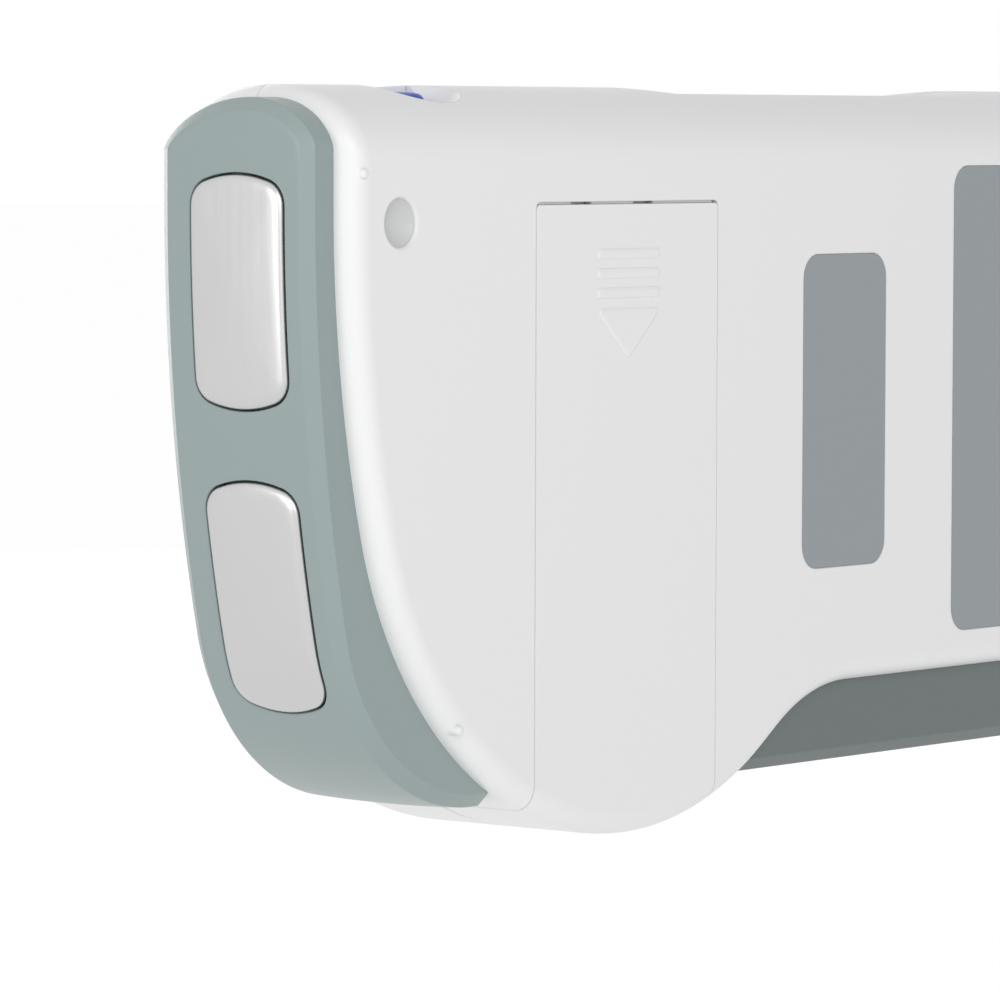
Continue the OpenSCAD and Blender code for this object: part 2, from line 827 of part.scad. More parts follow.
// Plate outline [y, z] of an electrode, grown by `grow`: bowed short edges and round corners
module electrode_plan(z, grow) {
    r = electrode_r + grow;
    bow = electrode_bow_r + grow;
    half_w = electrode_w / 2 - electrode_r;
    bow_z = electrode_h / 2 - electrode_bow_r;
    rise = sqrt(pow(electrode_bow_r - electrode_r, 2) - pow(half_w, 2));
    turn = atan2(rise, half_w);
    top = concat(
        arc(half_w, bow_z + rise, r, 0, turn, 5),
        arc(0, bow_z, bow, turn + 4, 176 - turn, 8),
        arc(-half_w, bow_z + rise, r, 180 - turn, 180, 5)
    );
    translate([back_y - electrode_depth, z])
        polygon(concat(top, [for (i = [len(top) - 1 : -1 : 0]) [top[i][0], -top[i][1]]]));
}

// Window for an electrode: a sunk seat for the plate, and an opening through the ledge
module electrode_window(z) {
    difference() {
        between_x(end_x - window_reach, half_len + 1) electrode_plan(z, electrode_gap);
        between_y(-far, far) bumper_outline(electrode_t - electrode_proud);
    }
    between_x(end_x - window_reach, half_len + 1) electrode_plan(z, -1.2);
}

module near_end_cap() {
    color("#93A5A4") difference() {
        end_piece() body_core();
        for (z = [upper_electrode_z, lower_electrode_z]) electrode_window(z);
    }
}

module far_end_cap() {
    color("#93A5A4") mirror([1, 0, 0]) difference() {
        end_piece() mirror([1, 0, 0]) body_core();
        electrode_window(far_electrode_z);
    }
}

module lower_trim() {
    x0 = -half_len + bumper_reach + 0.1;
    tip = 0.65;
    belly_r = belly_far_r - bumper_gap;
    x1 = belly_x - belly_r * sin(acos(1 - (bumper_z + tip) / belly_r));
    y0 = bumper_front_y;
    y1 = bumper_back_y;
    c = bumper_chamfer;
    w = bumper_chamfer_w;
    t = bumper_wall;
    color("#93A5A4") difference() {
        between_x(x0, x1) polygon([
            [y0, bumper_z + c], [y0 + w, bumper_z], [y1 - w, bumper_z], [y1, bumper_z + c],
            [y1, waist_z + 1], [y0, waist_z + 1]
        ]);
        between_x(x0 + t, x1 + 1) polygon([
            [y0 + t, bumper_z + t], [y1 - t, bumper_z + t],
            [y1 - t, waist_z + 2], [y0 + t, waist_z + 2]
        ]);
        body_core();
    }
}

// ---- Electrodes and their contacts ------------------------------------------------------------

// Electrode plate that follows the bumper's face, with the stud behind it
module electrode(z, stud_end) {
    y = back_y - electrode_depth;
    color("silver") {
        intersection() {
            difference() {
                between_y(-far, far) bumper_outline(-electrode_proud);
                between_y(-far, far) bumper_outline(electrode_t - electrode_proud);
            }
            between_x(end_x - window_reach, half_len + 1) electrode_plan(z, 0);
        }
        rod_x(y, z, stud_r, stud_end, half_len - bumper_sag(z) - electrode_t / 2);
    }
}

// How far the bumper's face has curved in at the height z
function bumper_sag(z) =
    bumper_face_r - sqrt(pow(bumper_face_r, 2) - pow(max(0, end_curve_z - z), 2));

// How far the body's end wall has curved in at the height z
function end_sag(z) =
    end_arc_r - sqrt(pow(end_arc_r, 2) - pow(max(0, end_curve_z - z), 2));

// Inner end of the stud behind an electrode at the height z
function stud_tip(z) = end_x - end_sag(z) - wall - 1.6;

module upper_electrode() { electrode(upper_electrode_z, stud_tip(upper_electrode_z)); }

module lower_electrode() { electrode(lower_electrode_z, stud_tip(lower_electrode_z)); }

module far_electrode() { mirror([1, 0, 0]) electrode(far_electrode_z, stud_tip(far_electrode_z)); }

leaf_in = 1.5;
leaf_foot = 4;
leaf_t = 0.3;
leaf_w = 2.5;

// Leaf spring at the +X end, from the board's back face to the tip of a stud at the height z
module contact_leaf(z) {
    tip = stud_tip(z);
    y = back_y - electrode_depth;
    knee = board_x - leaf_in;
    foot = leaf_foot;
    t = leaf_t;
    color("gold") translate([0, 0, z - leaf_w / 2]) linear_extrude(leaf_w) polygon([
        [knee - foot, board_back_y], [knee, board_back_y],
        [tip, y - 1], [tip, y + 1.6],
        [tip - t, y + 1.6], [tip - t, y - 1 + t],
        [knee - t, board_back_y + t], [knee - foot, board_back_y + t]
    ]);
}

module upper_contact() { contact_leaf(upper_electrode_z); }

module lower_contact() { contact_leaf(lower_electrode_z); }

module far_contact() { mirror([1, 0, 0]) contact_leaf(far_electrode_z); }

// ---- Measure button ---------------------------------------------------------------------------

module measure_button() {
    crown_r = 20;
    color("royalblue") translate([button_x, button_y, 0]) intersection() {
        translate([0, 0, button_flange_top - button_flange_t]) {
            linear_extrude(20) button_plan(0);
            linear_extrude(button_flange_t) button_plan(button_rim);
        }
        translate([0, 0, button_top - crown_r]) sphere(r = crown_r);
    }
}

module measure_switch() {
    foot_z = button_flange_top - button_flange_t - button_travel - 0.3;
    color("dimgray") {
        block([button_x - 3, board_back_y, foot_z - 4.6],
            [button_x + 3, board_back_y + 2.5, foot_z - 1]);
        block([button_x - 3, board_back_y, foot_z - 1.8], [button_x + 3, button_y + 1.6, foot_z - 1]);
        translate([button_x, button_y, foot_z - 1.2]) cylinder(r = 1.2, h = 1.2);
    }
}

// ---- Front keys -------------------------------------------------------------------------------

// Key at column c and row r (each -1 or 1), with its flange behind the wall
module front_key(c, r) {
    translate([keys_x + c * key_pitch_x / 2, 0, keys_z + r * key_pitch_z / 2]) {
        between_y(front_y - key_proud + 0.3, key_root_y) round_rect(key_w, key_h, 2);
        between_y(front_y - key_proud, front_y - key_proud + 0.3)
            round_rect(key_w - 0.6, key_h - 0.6, 1.7);
        between_y(inner_front_y + 0.1, key_root_y) round_rect(key_w + 1.4, key_h + 1.4, 2.4);
    }
}

module up_key() { color("lightsteelblue") front_key(-1, 1); }

module down_key() { color("lightsteelblue") front_key(-1, -1); }

module select_key() { color("lightsteelblue") front_key(1, 1); }

module power_key() { color("lightsteelblue") front_key(1, -1); }

// Silicone mat under the keys, with a dome over each switch
module key_mat() {
    w = key_pitch_x + key_w + 2;
    h = key_pitch_z + key_h + 2.4;
    color("gainsboro") difference() {
        union() {
            translate([keys_x, 0, keys_z])
                between_y(mat_y, mat_y + mat_t) round_rect(w, h, 2);
            for (c = [-1, 1], r = [-1, 1])
                rod_y(keys_x + c * key_pitch_x / 2, keys_z + r * key_pitch_z / 2, 3.4,
                    mat_y, board_front_y);
        }
        for (c = [-1, 1], r = [-1, 1])
            rod_y(keys_x + c * key_pitch_x / 2, keys_z + r * key_pitch_z / 2, 2.9,
                mat_y + mat_t, board_front_y + 1);
    }
}

switch_r = 2.7;
switch_t = 0.7;
plunger_r = 1;

module key_switches() {
    color("dimgray") for (c = [-1, 1], r = [-1, 1]) {
        rod_y(keys_x + c * key_pitch_x / 2, keys_z + r * key_pitch_z / 2, switch_r,
            board_front_y - switch_t, board_front_y);
        rod_y(keys_x + c * key_pitch_x / 2, keys_z + r * key_pitch_z / 2, plunger_r,
            board_front_y - 2 * switch_t - 0.1, board_front_y - switch_t + 0.2);
    }
}

// ---- Display ----------------------------------------------------------------------------------

module display_window() {
    color([0.1, 0.12, 0.14]) translate([window_x, 0, window_z])
        between_y(window_y0, window_y0 + window_t)
            round_rect(window_w - 2 * window_gap, window_h - 2 * window_gap, window_r - window_gap);
}

module display_panel() {
    color("darkslategray") translate([window_x, 0, window_z])
        between_y(panel_y0 + 0.3, panel_y0 + 0.3 + panel_t)
            square([panel_w, panel_h], center = true);
}

// Frame that holds the panel and stands on the board
module display_holder() {
    color("dimgray") translate([window_x, 0, window_z]) difference() {
        between_y(panel_y0 + 0.3, board_front_y)
            round_rect(panel_w + 2 * holder_rim, panel_h + 2 * holder_rim, 1);
        between_y(panel_y0, panel_y0 + panel_t + 0.3)
            square([panel_w + 0.1, panel_h + 0.1], center = true);
        between_y(panel_y0, board_front_y + 1)
            square([panel_w - 2 * panel_lip, panel_h - 2 * panel_lip], center = true);
    }
}

module display_ribbon() {
    x = window_x - panel_w / 2 + panel_lip + 0.4;
    y = panel_y0 + 0.3 + panel_t;
    w = 8;
    foot = 4;
    t = 0.2;
    color("orange") translate([0, 0, window_z - w / 2]) linear_extrude(w) polygon([
        [x, y], [x + foot, y], [x + foot, y + t], [x + t, y + t],
        [x + t, board_front_y - t], [x + foot, board_front_y - t], [x + foot, board_front_y],
        [x, board_front_y]
    ]);
}

// ---- Electronics ------------------------------------------------------------------------------

module main_board() {
    edge = 2;
    color("darkgreen") difference() {
        between_y(board_front_y, board_back_y) polygon([
            [-board_x, board_z0 + board_notch_z], [-board_x + board_notch_x, board_z0 + board_notch_z],
            [-board_x + board_notch_x, board_z0], [board_x - board_corner, board_z0],
            [board_x, board_z0 + board_corner],
            [board_x, board_z1 - 3 * edge], [board_x - edge, board_z1],
            [-board_x + edge, board_z1], [-board_x, board_z1 - 3 * edge]
        ]);
        for (p = board_screw_places)
            rod_y(p[0], p[1], board_screw_r + 0.15, board_front_y - 1, board_back_y + 1);
    }
}

// Chips on the board's back face: [x, z, width, height, thickness] of each, from its low corner
main_chip = 10;
main_chip_t = 1.2;
side_chip_w = 7;
side_chip_h = 6;
small_chip_w = 6;
small_chip_h = 5;
chip_t = 1;
crystal_h = 3;
crystal_t = 1.4;
chip_from_bay = 16;
chip_step = 11;
chip_lift = 9;
chip_drop = 14;
chip_from_contact = 9.8;
chips = [
    [bay_x0 - chip_from_bay, board_z0 + chip_lift, main_chip, main_chip, main_chip_t],
    [bay_x0 - chip_from_bay, board_z1 - chip_drop, side_chip_w, side_chip_h, chip_t],
    [-board_x + small_chip_w, far_electrode_z - chip_from_contact, small_chip_w, small_chip_h, chip_t],
    [-board_x + side_chip_w, board_z1 - chip_lift, main_chip, crystal_h, crystal_t],
    [bay_x0 - chip_from_bay - chip_step, board_z0 + 2 * chip_t, small_chip_h, 4 * chip_t, chip_t]
];

module board_chips() {
    color([0.12, 0.12, 0.13]) for (c = chips)
        block([c[0], board_back_y, c[1]], [c[0] + c[2], board_back_y + c[4], c[1] + c[3]]);
}

// Tin can over the input stage, between the bay and the board's screws
shield_t = 0.3;
shield_gap = 0.5;
shield_lift = 11.8;
shield_w = 7;
shield_h = 10;
shield_deep = 2.4;

module analog_shield() {
    t = shield_t;
    lo = [bay_x1 + shield_gap, board_back_y, board_z0 + shield_lift];
    hi = lo + [shield_w, shield_deep, shield_h];
    color("silver") difference() {
        block(lo, hi);
        block(lo + [t, -1, t], hi - [t, t, t]);
    }
}

// Lead socket: a metal mouth round an insulator
module data_socket() {
    z0 = board_z1 - 7.6;
    t = 0.4;
    color("silver") difference() {
        block(
            [socket_x - socket_w / 2, socket_y - socket_h / 2, z0],
            [socket_x + socket_w / 2, socket_y + socket_h / 2, socket_top]
        );
        block(
            [socket_x - socket_w / 2 + t, socket_y - socket_h / 2 + t, z0 + 2],
            [socket_x + socket_w / 2 - t, socket_y + socket_h / 2 - t, socket_top + 1]
        );
    }
    color("black") block(
        [socket_x - socket_w / 2 + 1.6, socket_y - 0.4, z0 + 1],
        [socket_x + socket_w / 2 - 1.6, socket_y + 0.4, socket_top - 1]
    );
}

buzzer_r = 6;
buzzer_t = 4;
buzzer_hole_r = 1;
buzzer_from_edge = 22;
buzzer_lift = 14;

module buzzer() {
    x = -board_x + buzzer_from_edge;
    z = board_z0 + buzzer_lift;
    color([0.15, 0.15, 0.16]) difference() {
        rod_y(x, z, buzzer_r, board_back_y, board_back_y + buzzer_t);
        rod_y(x, z, buzzer_hole_r, board_back_y + buzzer_t / 2, board_back_y + buzzer_t + 1);
    }
}

// ---- Cells and their contacts -----------------------------------------------------------------

// Cell s (-1 or 1); the two lie head to tail
module cell(s) {
    translate([door_x + s * cell_step / 2, cell_y, cell_z0 + cell_len / 2])
        rotate([s > 0 ? 0 : 180, 0, 0]) translate([0, 0, -cell_len / 2]) {
            cylinder(r = cell_r, h = cell_len - nub_len);
            translate([0, 0, cell_len - nub_len - eps]) cylinder(r = 1.9, h = nub_len + eps);
        }
}

module battery_one() { color("goldenrod") cell(1); }

module battery_two() { color("goldenrod") translate([0, 0, -spring_len]) cell(-1); }

plate_reach = 4;
spring_r = 3.4;
spring_tip_r = 2;
spring_wire = 0.5;

// Contact plates against the bay's floor and roof
module battery_plates() {
    color("silver") for (z = [bay_floor_z + bay_wall, bay_top_z - plate_t])
        block(
            [door_x - cell_step / 2 - plate_reach, cell_y - plate_reach, z],
            [door_x + cell_step / 2 + plate_reach, cell_y + plate_reach, z + plate_t]
        );
}

// Coned spring from its plate to the flat end of a cell
module battery_springs() {
    color("silver") {
        translate([door_x + cell_step / 2, cell_y, bay_floor_z + bay_wall + plate_t])
            spring_cone();
        translate([door_x - cell_step / 2, cell_y, bay_top_z - plate_t])
            mirror([0, 0, 1]) spring_cone();
    }
}

module spring_cone() {
    rotate_extrude() polygon([
        [spring_r, 0], [spring_r + spring_wire, 0],
        [spring_tip_r + spring_wire, spring_len], [spring_tip_r, spring_len]
    ]);
}

// ---- Fasteners --------------------------------------------------------------------------------

module housing_screws() {
    color("gray") for (p = screw_places) difference() {
        union() {
            rod_y(p[0], p[1], plug_r - 0.15, seat_y, head_y);
            rod_y(p[0], p[1], screw_r, seat_y - screw_len, seat_y + eps);
        }
        translate([p[0], 0, p[1]]) between_y(head_y - 0.7, head_y + 1) {
            square([2, 0.5], center = true);
            square([0.5, 2], center = true);
        }
    }
}

module board_screws() {
    color("gray") for (p = board_screw_places) difference() {
        union() {
            rod_y(p[0], p[1], board_head_r, board_back_y, board_back_y + board_head_t);
            rod_y(p[0], p[1], board_screw_r, board_front_y - board_thread, board_back_y + eps);
        }
        translate([p[0], 0, p[1]])
            between_y(board_back_y + board_head_t / 2, board_back_y + 2 * board_head_t)
                square([1.6, 0.4], center = true);
    }
}

// Dished plugs that close the screw holes
module screw_plugs() {
    dish = 0.7;
    r = plug_r - 0.05;
    ball = (pow(r, 2) + pow(dish, 2)) / (2 * dish);
    color("gainsboro") for (p = screw_places) difference() {
        rod_y(p[0], p[1], r, back_y - plug_t, back_y - 0.05);
        translate([p[0], back_y - 0.05 - dish + ball, p[1]]) sphere(r = ball);
    }
}

// ---- Labels -----------------------------------------------------------------------------------

module label(place, w, h) {
    translate([place[0], 0, place[1]])
        between_y(back_y - label_t, back_y) round_rect(w, h, label_r);
}

module serial_label() { color("#969FA4") label(serial_place, serial_w, serial_h); }

module rating_label() { color("#969FA4") label(rating_place, rating_w, rating_h); }

back_cover();
front_housing();
battery_cover();
near_end_cap();
far_end_cap();
lower_trim();
upper_electrode();
lower_electrode();
far_electrode();
upper_contact();
lower_contact();
far_contact();
measure_button();
measure_switch();
power_key();
up_key();
down_key();
select_key();
key_mat();
key_switches();
display_window();
display_holder();
display_panel();
display_ribbon();
main_board();
board_chips();
analog_shield();
data_socket();
buzzer();
battery_one();
battery_two();
battery_springs();
battery_plates();
housing_screws();
board_screws();
screw_plugs();
serial_label();
rating_label();
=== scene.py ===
"""Looks for a hand-held ECG home monitor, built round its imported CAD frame.

+X points to the two-electrode end, +Y to the back, +Z to the top edge. Lengths are in millimetres
until a mesh is made.
"""

import json
import math

import bmesh
import bpy
from mathutils import Matrix, Vector

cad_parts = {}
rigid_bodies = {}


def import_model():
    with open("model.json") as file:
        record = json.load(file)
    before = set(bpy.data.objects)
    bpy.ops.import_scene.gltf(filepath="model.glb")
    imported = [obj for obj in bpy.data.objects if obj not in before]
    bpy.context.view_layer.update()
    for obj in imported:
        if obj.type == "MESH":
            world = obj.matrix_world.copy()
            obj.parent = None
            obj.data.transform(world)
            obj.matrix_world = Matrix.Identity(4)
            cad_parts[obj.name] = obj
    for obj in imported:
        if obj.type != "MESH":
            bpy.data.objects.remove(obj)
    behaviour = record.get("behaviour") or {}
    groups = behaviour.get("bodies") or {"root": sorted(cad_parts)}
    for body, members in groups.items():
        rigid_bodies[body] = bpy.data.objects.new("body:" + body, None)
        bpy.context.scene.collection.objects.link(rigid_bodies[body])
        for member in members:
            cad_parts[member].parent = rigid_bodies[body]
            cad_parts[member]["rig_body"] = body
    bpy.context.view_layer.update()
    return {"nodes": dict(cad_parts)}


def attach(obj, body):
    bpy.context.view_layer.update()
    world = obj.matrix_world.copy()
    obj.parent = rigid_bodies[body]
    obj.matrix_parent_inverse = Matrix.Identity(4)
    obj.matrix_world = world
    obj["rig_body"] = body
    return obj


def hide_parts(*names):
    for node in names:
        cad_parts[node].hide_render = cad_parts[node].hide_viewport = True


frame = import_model()
NODES = frame["nodes"]
# A millimetre in Blender's metres
MM = 0.001
# Distances in metres under which points are merged and edges taken as nothing, before and after cuts
RAW_MERGE = 1e-7
RAW_EMPTY = 1e-8
PIECE_MERGE = 2e-7
PIECE_EMPTY = 1e-7
# Edges sharper than this angle stay sharp
SHARP = 32.0

# ---- Sizes of the object ---------------------------------------------------------------------

HALF_LEN = 60.5
BODY_HEIGHT = 60.2
BACK_Y = 11.8
FRONT_Y = -11.5
SEAM_Y = 1.8
# Half the gap between the two shells, how far their edges are drawn in, and over what length
SEAM_HALF = 0.03
LIP_IN = 0.05
LIP_L = 0.12
CREST_Y = 2.8
WALL = 1.8
BACK_ROUND = 2.0
ARCH_HEIGHT = 5.7
ARCH_DEPTH = 9.0
FRONT_DROP = 9.4
FRONT_CURL = 2.6
SHOULDER_IN = 7.5
TOP_CORNER_R = 2.0
FAR_CORNER_R = 14.0
BELLY_X = 21.3
BELLY_NEAR_R = 34.0
BELLY_FAR_R = 31.8
END_CURVE_Z = 51.0
SWOOP_LINE = 2.7
SWOOP_R = 19.2
WAIST_Z = 10.35
FLANGE = 3.0
# Least radii that an inset leaves, and how far below the top corner the side curve stops
LEAST_CORNER_R = 0.4
LEAST_ROUND = 0.2
LEAST_PLAN_R = 0.02
SIDE_STOP = 1.5
# Share of their angle up to which the curved ends are drawn, and where the near belly arc begins
END_ARC_SHARE = 0.9
BELLY_START = 273

BUMPER_Z = 3.35
BUMPER_BACK_Y = 9.8
BUMPER_FRONT_Y = -5.5
BUMPER_FACE_R = 150.0
BUMPER_CORNER_R = 17.8
BUMPER_REACH = 22.0
BUMPER_TOP = 59.2
BUMPER_CREST_Y = 3.4
BUMPER_RISE = 4.0
FRONT_PEAK = 1.45
BACK_PEAK = 1.2
BUMPER_CROWN = 0.22
TRIM_TIP = 0.65
TRIM_GAP = 0.08
# How far the bumper reaches into the body, and past the flange behind the arch
CORE_OVERLAP = 0.15
ARCH_OVERLAP = 0.6

ELECTRODE_Y = 2.6
ELECTRODE_W = 9.2
ELECTRODE_H = 18.0
ELECTRODE_R = 2.0
ELECTRODE_BOW_R = 10.5
ELECTRODE_GAP = 0.16
ELECTRODE_SEAT = 1.3
# The rim of an electrode's opening: how much wider, from how far below to how far over the face
ELECTRODE_FLARE = 0.05
ELECTRODE_RIM = (-0.05, 0.02)
# Angle left out between a bowed edge and the corner beside it
BOW_STOP = 4
# The plate's edge: (distance in, height over the bumper's face), then the crown of its middle
PLATE_EDGE = ((0.1, -1.2), (0, -1.0), (0, -0.15), (0.03, 0.03), (0.12, 0.15), (0.28, 0.24), (0.5, 0.3),
              (0.9, 0.34))
PLATE_CROWN = 0.1
UPPER_ELECTRODE_Z = 44.3
LOWER_ELECTRODE_Z = 20.7
FAR_ELECTRODE_Z = 34.0

DOOR_X = 23.1
DOOR_W = 24.0
DOOR_TOP = 51.06
DOOR_T = 1.5
DOOR_CORNER_R = 0.5
DOOR_BELOW = -2
DOOR_FRONT_GAP = 0.15
DOOR_LIP_L = 0.1
SIDE_SEAM = 0.05
TOP_SEAM = 0.22
# Latch tongues of half width LATCH_HALF at these places, in notches of half width NOTCH_HALF
LATCHES = (29.0, 20.9)
LATCH_HALF = 1.2
LATCH_BEHIND = 0.9
LATCH_IN = 2
LATCH_OUT = 1.3
NOTCH_HALF = 1.3
# Ledges that close the seams from behind: depth of the floor of the top and the side seams
LEDGE_DEPTH = 0.28
SIDE_LEDGE = 0.1
LEDGE_BEHIND = 1.6
LEDGE_END = 0.5
LEDGE_W = 0.3
LEDGE_LOW = 1
# How far a ledge stays clear of the door's top edge and of its sides
TOP_CLEAR = 0.02
SIDE_CLEAR = 0.01
# Cross-section of the door's raised marks: (distance in, height)
MARK_EDGE = ((0, -0.3), (0.0, 0.01), (0.07, 0.07), (0.16, 0.11), (0.28, 0.13))
RIB_W = 8.2
RIB_H = 0.8
RIB_R = 0.3
RIB_TOP = 46.86
RIB_STEP = 1.56
RIB_COUNT = 3
ARROW_Z = 42.5
ARROW_HALF = 3.6
ARROW_BASE = -0.32
ARROW_TIP = -3.68

# Battery bay: half width, lowest and highest z, front plane and wall
BAY_HALF = 13
BAY_LOW = 4.7
BAY_HIGH = 54.5
BAY_FRONT = -1.9
BAY_WALL = 1
BAY_MOUTH = 0.3

WINDOW_PLACE = (-12.0, 34.1)
WINDOW_W = 56.0
WINDOW_H = 27.0
WINDOW_R = 2.5
WINDOW_POCKET = 1.3
WINDOW_LEDGE = 2
WINDOW_GAP = 0.1
BORDER_W = 3.0
# Edges of the window and of the display: (distance in, height over the front plane)
WINDOW_EDGE = ((0, -1.2), (0, -0.25), (0.08, -0.17), (0.3, -0.15))
BORDER_LOOP = ((0.1, -1.22), (0.1, -1.3), (BORDER_W, -1.3), (BORDER_W, -1.22))
PANEL_EDGE = ((0, -4.6), (0, -2.2), (0.15, -2.05), (1.2, -2.05), (1.25, -2.12))
PANEL_R = 0.3
KEY_PLACE = (33.2, 34.1)
KEY_W = 8.5
KEY_H = 6.5
KEY_R = 2.0
KEY_GAP = 0.14
KEY_EDGE = ((0, -2.8), (0, 0.25), (0.06, 0.4), (0.2, 0.5), (0.45, 0.56), (0.9, 0.58))
KEY_TOP = 0.6
KEY_CROWN = 0.02
KEY_STEP_X = 11.5
KEY_STEP_Z = 12.5

BUTTON_PLACE = (43.2, 2.3)
BUTTON_L = 8.0
BUTTON_W = 5.8
BUTTON_TOP = 59.7
BUTTON_ROOT = 56.0
BUTTON_GAP = 0.12
BUTTON_HOLE_Z = (50, 66)
BUTTON_FLAT = 0.1
BUTTON_CROWN = 0.07
# Edge of the button: (distance in, depth below its top)
BUTTON_EDGE = ((0, 0.75), (0.06, 0.5), (0.2, 0.3), (0.45, 0.16), (0.9, 0.07))
SCOOP_PLACE = (42.6, 5.05)
SCOOP_R = 4.6
SCOOP_DEPTH = 2.8
SCOOP_WALL = 1.0
SCOOP_SKIN = 0.9

RECESS_X = -10.5
RECESS_LEN = 40.5
RECESS_RAMP = 4.5
RECESS_DEPTH = 0.5
RECESS_OVER = 1.2

# Opening over the data socket: half length and depth range, and a height range past the shell
SOCKET_HALF = 4.2
SOCKET_Y = (-3.2, 0.6)
SOCKET_Z = (56, 62)

PLUG_R = 1.9
# Countersunk hole and dished plug: (distance in, height over the back plane)
PLUG_HOLE = ((0, -1.5), (0, -0.26), (-0.05, -0.12), (-0.2, 0.02), (-0.2, 1))
PLUG_EDGE = ((-0.02, -1.45), (-0.02, -0.3), (0.05, -0.26))
PLUG_DISH = 0.9
PIP_R = 0.37
PIP_EDGE = ((0, -1.1), (0, 0.04), (0.05, 0.13), (0.14, 0.19), (0.26, 0.21))
PLUG_PLACES = ((51.8, 49.6), (-51.8, 49.6), (-44.2, 17.8))
PIP_PLACES = ((56.2, 53.4), (44.5, 10.1))
SERIAL_LABEL = (-6.9, 33.3, 11.9, 26.2)
RATING_LABEL = (-31.75, 33.7, 17.5, 40.0)
LABEL_R = 2.0
LABEL_GAP = 0.05
LABEL_BED = 0.1
LABEL_EDGE = ((0, -0.09), (0, -0.03), (0.02, 0.0))

# How far a cutter stands past the surface that it cuts, and into the front shell
PAST = 1
FRONT_CUT = 6

# The floor lies just under the battery door at the end of its slide
FLOOR_Z = -57.0

# ---- Plane geometry --------------------------------------------------------------------------


def sind(a):
    return math.sin(math.radians(a))


def cosd(a):
    return math.cos(math.radians(a))


def arc(cx, cy, r, a0, a1, n):
    """Points of an arc, both ends included."""
    steps = [a0 + (a1 - a0) * i / n for i in range(n + 1)]
    return [(cx + r * cosd(a), cy + r * sind(a)) for a in steps]


END_X = HALF_LEN - FLANGE
BELLY_OUT = END_X - BELLY_X
CURVE_UP = END_CURVE_Z - BELLY_NEAR_R
END_ARC_R = (BELLY_OUT**2 + CURVE_UP**2 - BELLY_NEAR_R**2) / (2 * (BELLY_OUT - BELLY_NEAR_R))
END_ARC_X = END_X - END_ARC_R
JOIN_ANGLE = math.degrees(math.atan2(BELLY_NEAR_R - END_CURVE_Z, BELLY_X - END_ARC_X))
SWOOP_SUM = BELLY_FAR_R + SWOOP_R
SWOOP_ANGLE = math.degrees(math.acos((SWOOP_SUM - WAIST_Z) / math.hypot(SWOOP_SUM, SWOOP_LINE))
                           - math.atan2(SWOOP_LINE, SWOOP_SUM))
WAIST_X = BELLY_X - SWOOP_SUM * sind(SWOOP_ANGLE) - SWOOP_LINE * cosd(SWOOP_ANGLE)
FAR_REACH = END_ARC_R - FAR_CORNER_R
FAR_ANGLE = math.degrees(math.asin((END_CURVE_Z - WAIST_Z - FAR_CORNER_R) / FAR_REACH))
FAR_CORNER_X = -END_ARC_X - FAR_REACH * cosd(FAR_ANGLE)


def body_outline(inset, top):
    """Side outline (x, z) of the white body, its sides moved in by inset and its top edge at top."""
    corner = max(LEAST_CORNER_R, TOP_CORNER_R - inset)
    end_r = END_ARC_R - inset
    drop_z = min(END_CURVE_Z, top - corner) - SIDE_STOP - END_CURVE_Z
    last = math.degrees(math.asin(drop_z / end_r))
    side = END_X - inset - corner
    far_r = FAR_CORNER_R - inset
    return (
        arc(-side, top - corner, corner, 90, 180, 8)
        + arc(-END_ARC_X, END_CURVE_Z, end_r, 180 - last, 180 + FAR_ANGLE * END_ARC_SHARE, 10)
        + arc(FAR_CORNER_X, WAIST_Z + FAR_CORNER_R, far_r, 180 + FAR_ANGLE, 270, 20)
        + arc(WAIST_X, WAIST_Z - SWOOP_R, SWOOP_R + inset, 90, 90 - SWOOP_ANGLE, 12)
        + arc(BELLY_X, BELLY_FAR_R, BELLY_FAR_R - inset, 270 - SWOOP_ANGLE, 270, 16)
        + arc(BELLY_X, BELLY_NEAR_R, BELLY_NEAR_R - inset, BELLY_START, 360 + JOIN_ANGLE, 30)
        + arc(END_ARC_X, END_CURVE_Z, end_r, JOIN_ANGLE * END_ARC_SHARE, last, 10)
        + arc(side, top - corner, corner, 0, 90, 8)
    )


def top_at(y):
    """Height of the top edge at the depth y."""
    if y > CREST_Y:
        s = min(1.0, (y - CREST_Y) / ARCH_DEPTH)
        return BODY_HEIGHT - ARCH_HEIGHT * (1 - math.sqrt(1 - s * s))
    return BODY_HEIGHT - FRONT_DROP * ((CREST_Y - y) / (CREST_Y - FRONT_Y)) ** FRONT_CURL


def back_steps(skin, seam):
    """Rings (y, inset, top) of the back half from the back plane to the seam."""
    r = max(LEAST_ROUND, BACK_ROUND - skin)
    y0 = BACK_Y - skin - r
    rings = []
    for i in range(10):
        a = 90 - 10 * i
        y = y0 + r * sind(a)
        rings.append((y, skin + r * (1 - cosd(a)), top_at(y) - skin))
    count = 16
    for i in range(1, count + 1):
        y = y0 + (seam - y0) * i / count
        rings.append((y, skin, top_at(y) - skin))
    return rings


def front_steps(skin, seam):
    """Rings (y, inset, top) of the front half from the seam to the front plane."""
    rings = []
    for i in range(8):
        y = seam + (BUMPER_FRONT_Y - seam) * i / 8
        rings.append((y, skin, top_at(y) - skin))
    count = 16
    for i in range(count + 1):
        s = math.sin(math.pi / 2 * i / count)
        y = BUMPER_FRONT_Y + (FRONT_Y - BUMPER_FRONT_Y) * s
        rings.append((y + skin * s, skin + SHOULDER_IN * s * s, top_at(y) - skin))
    return rings


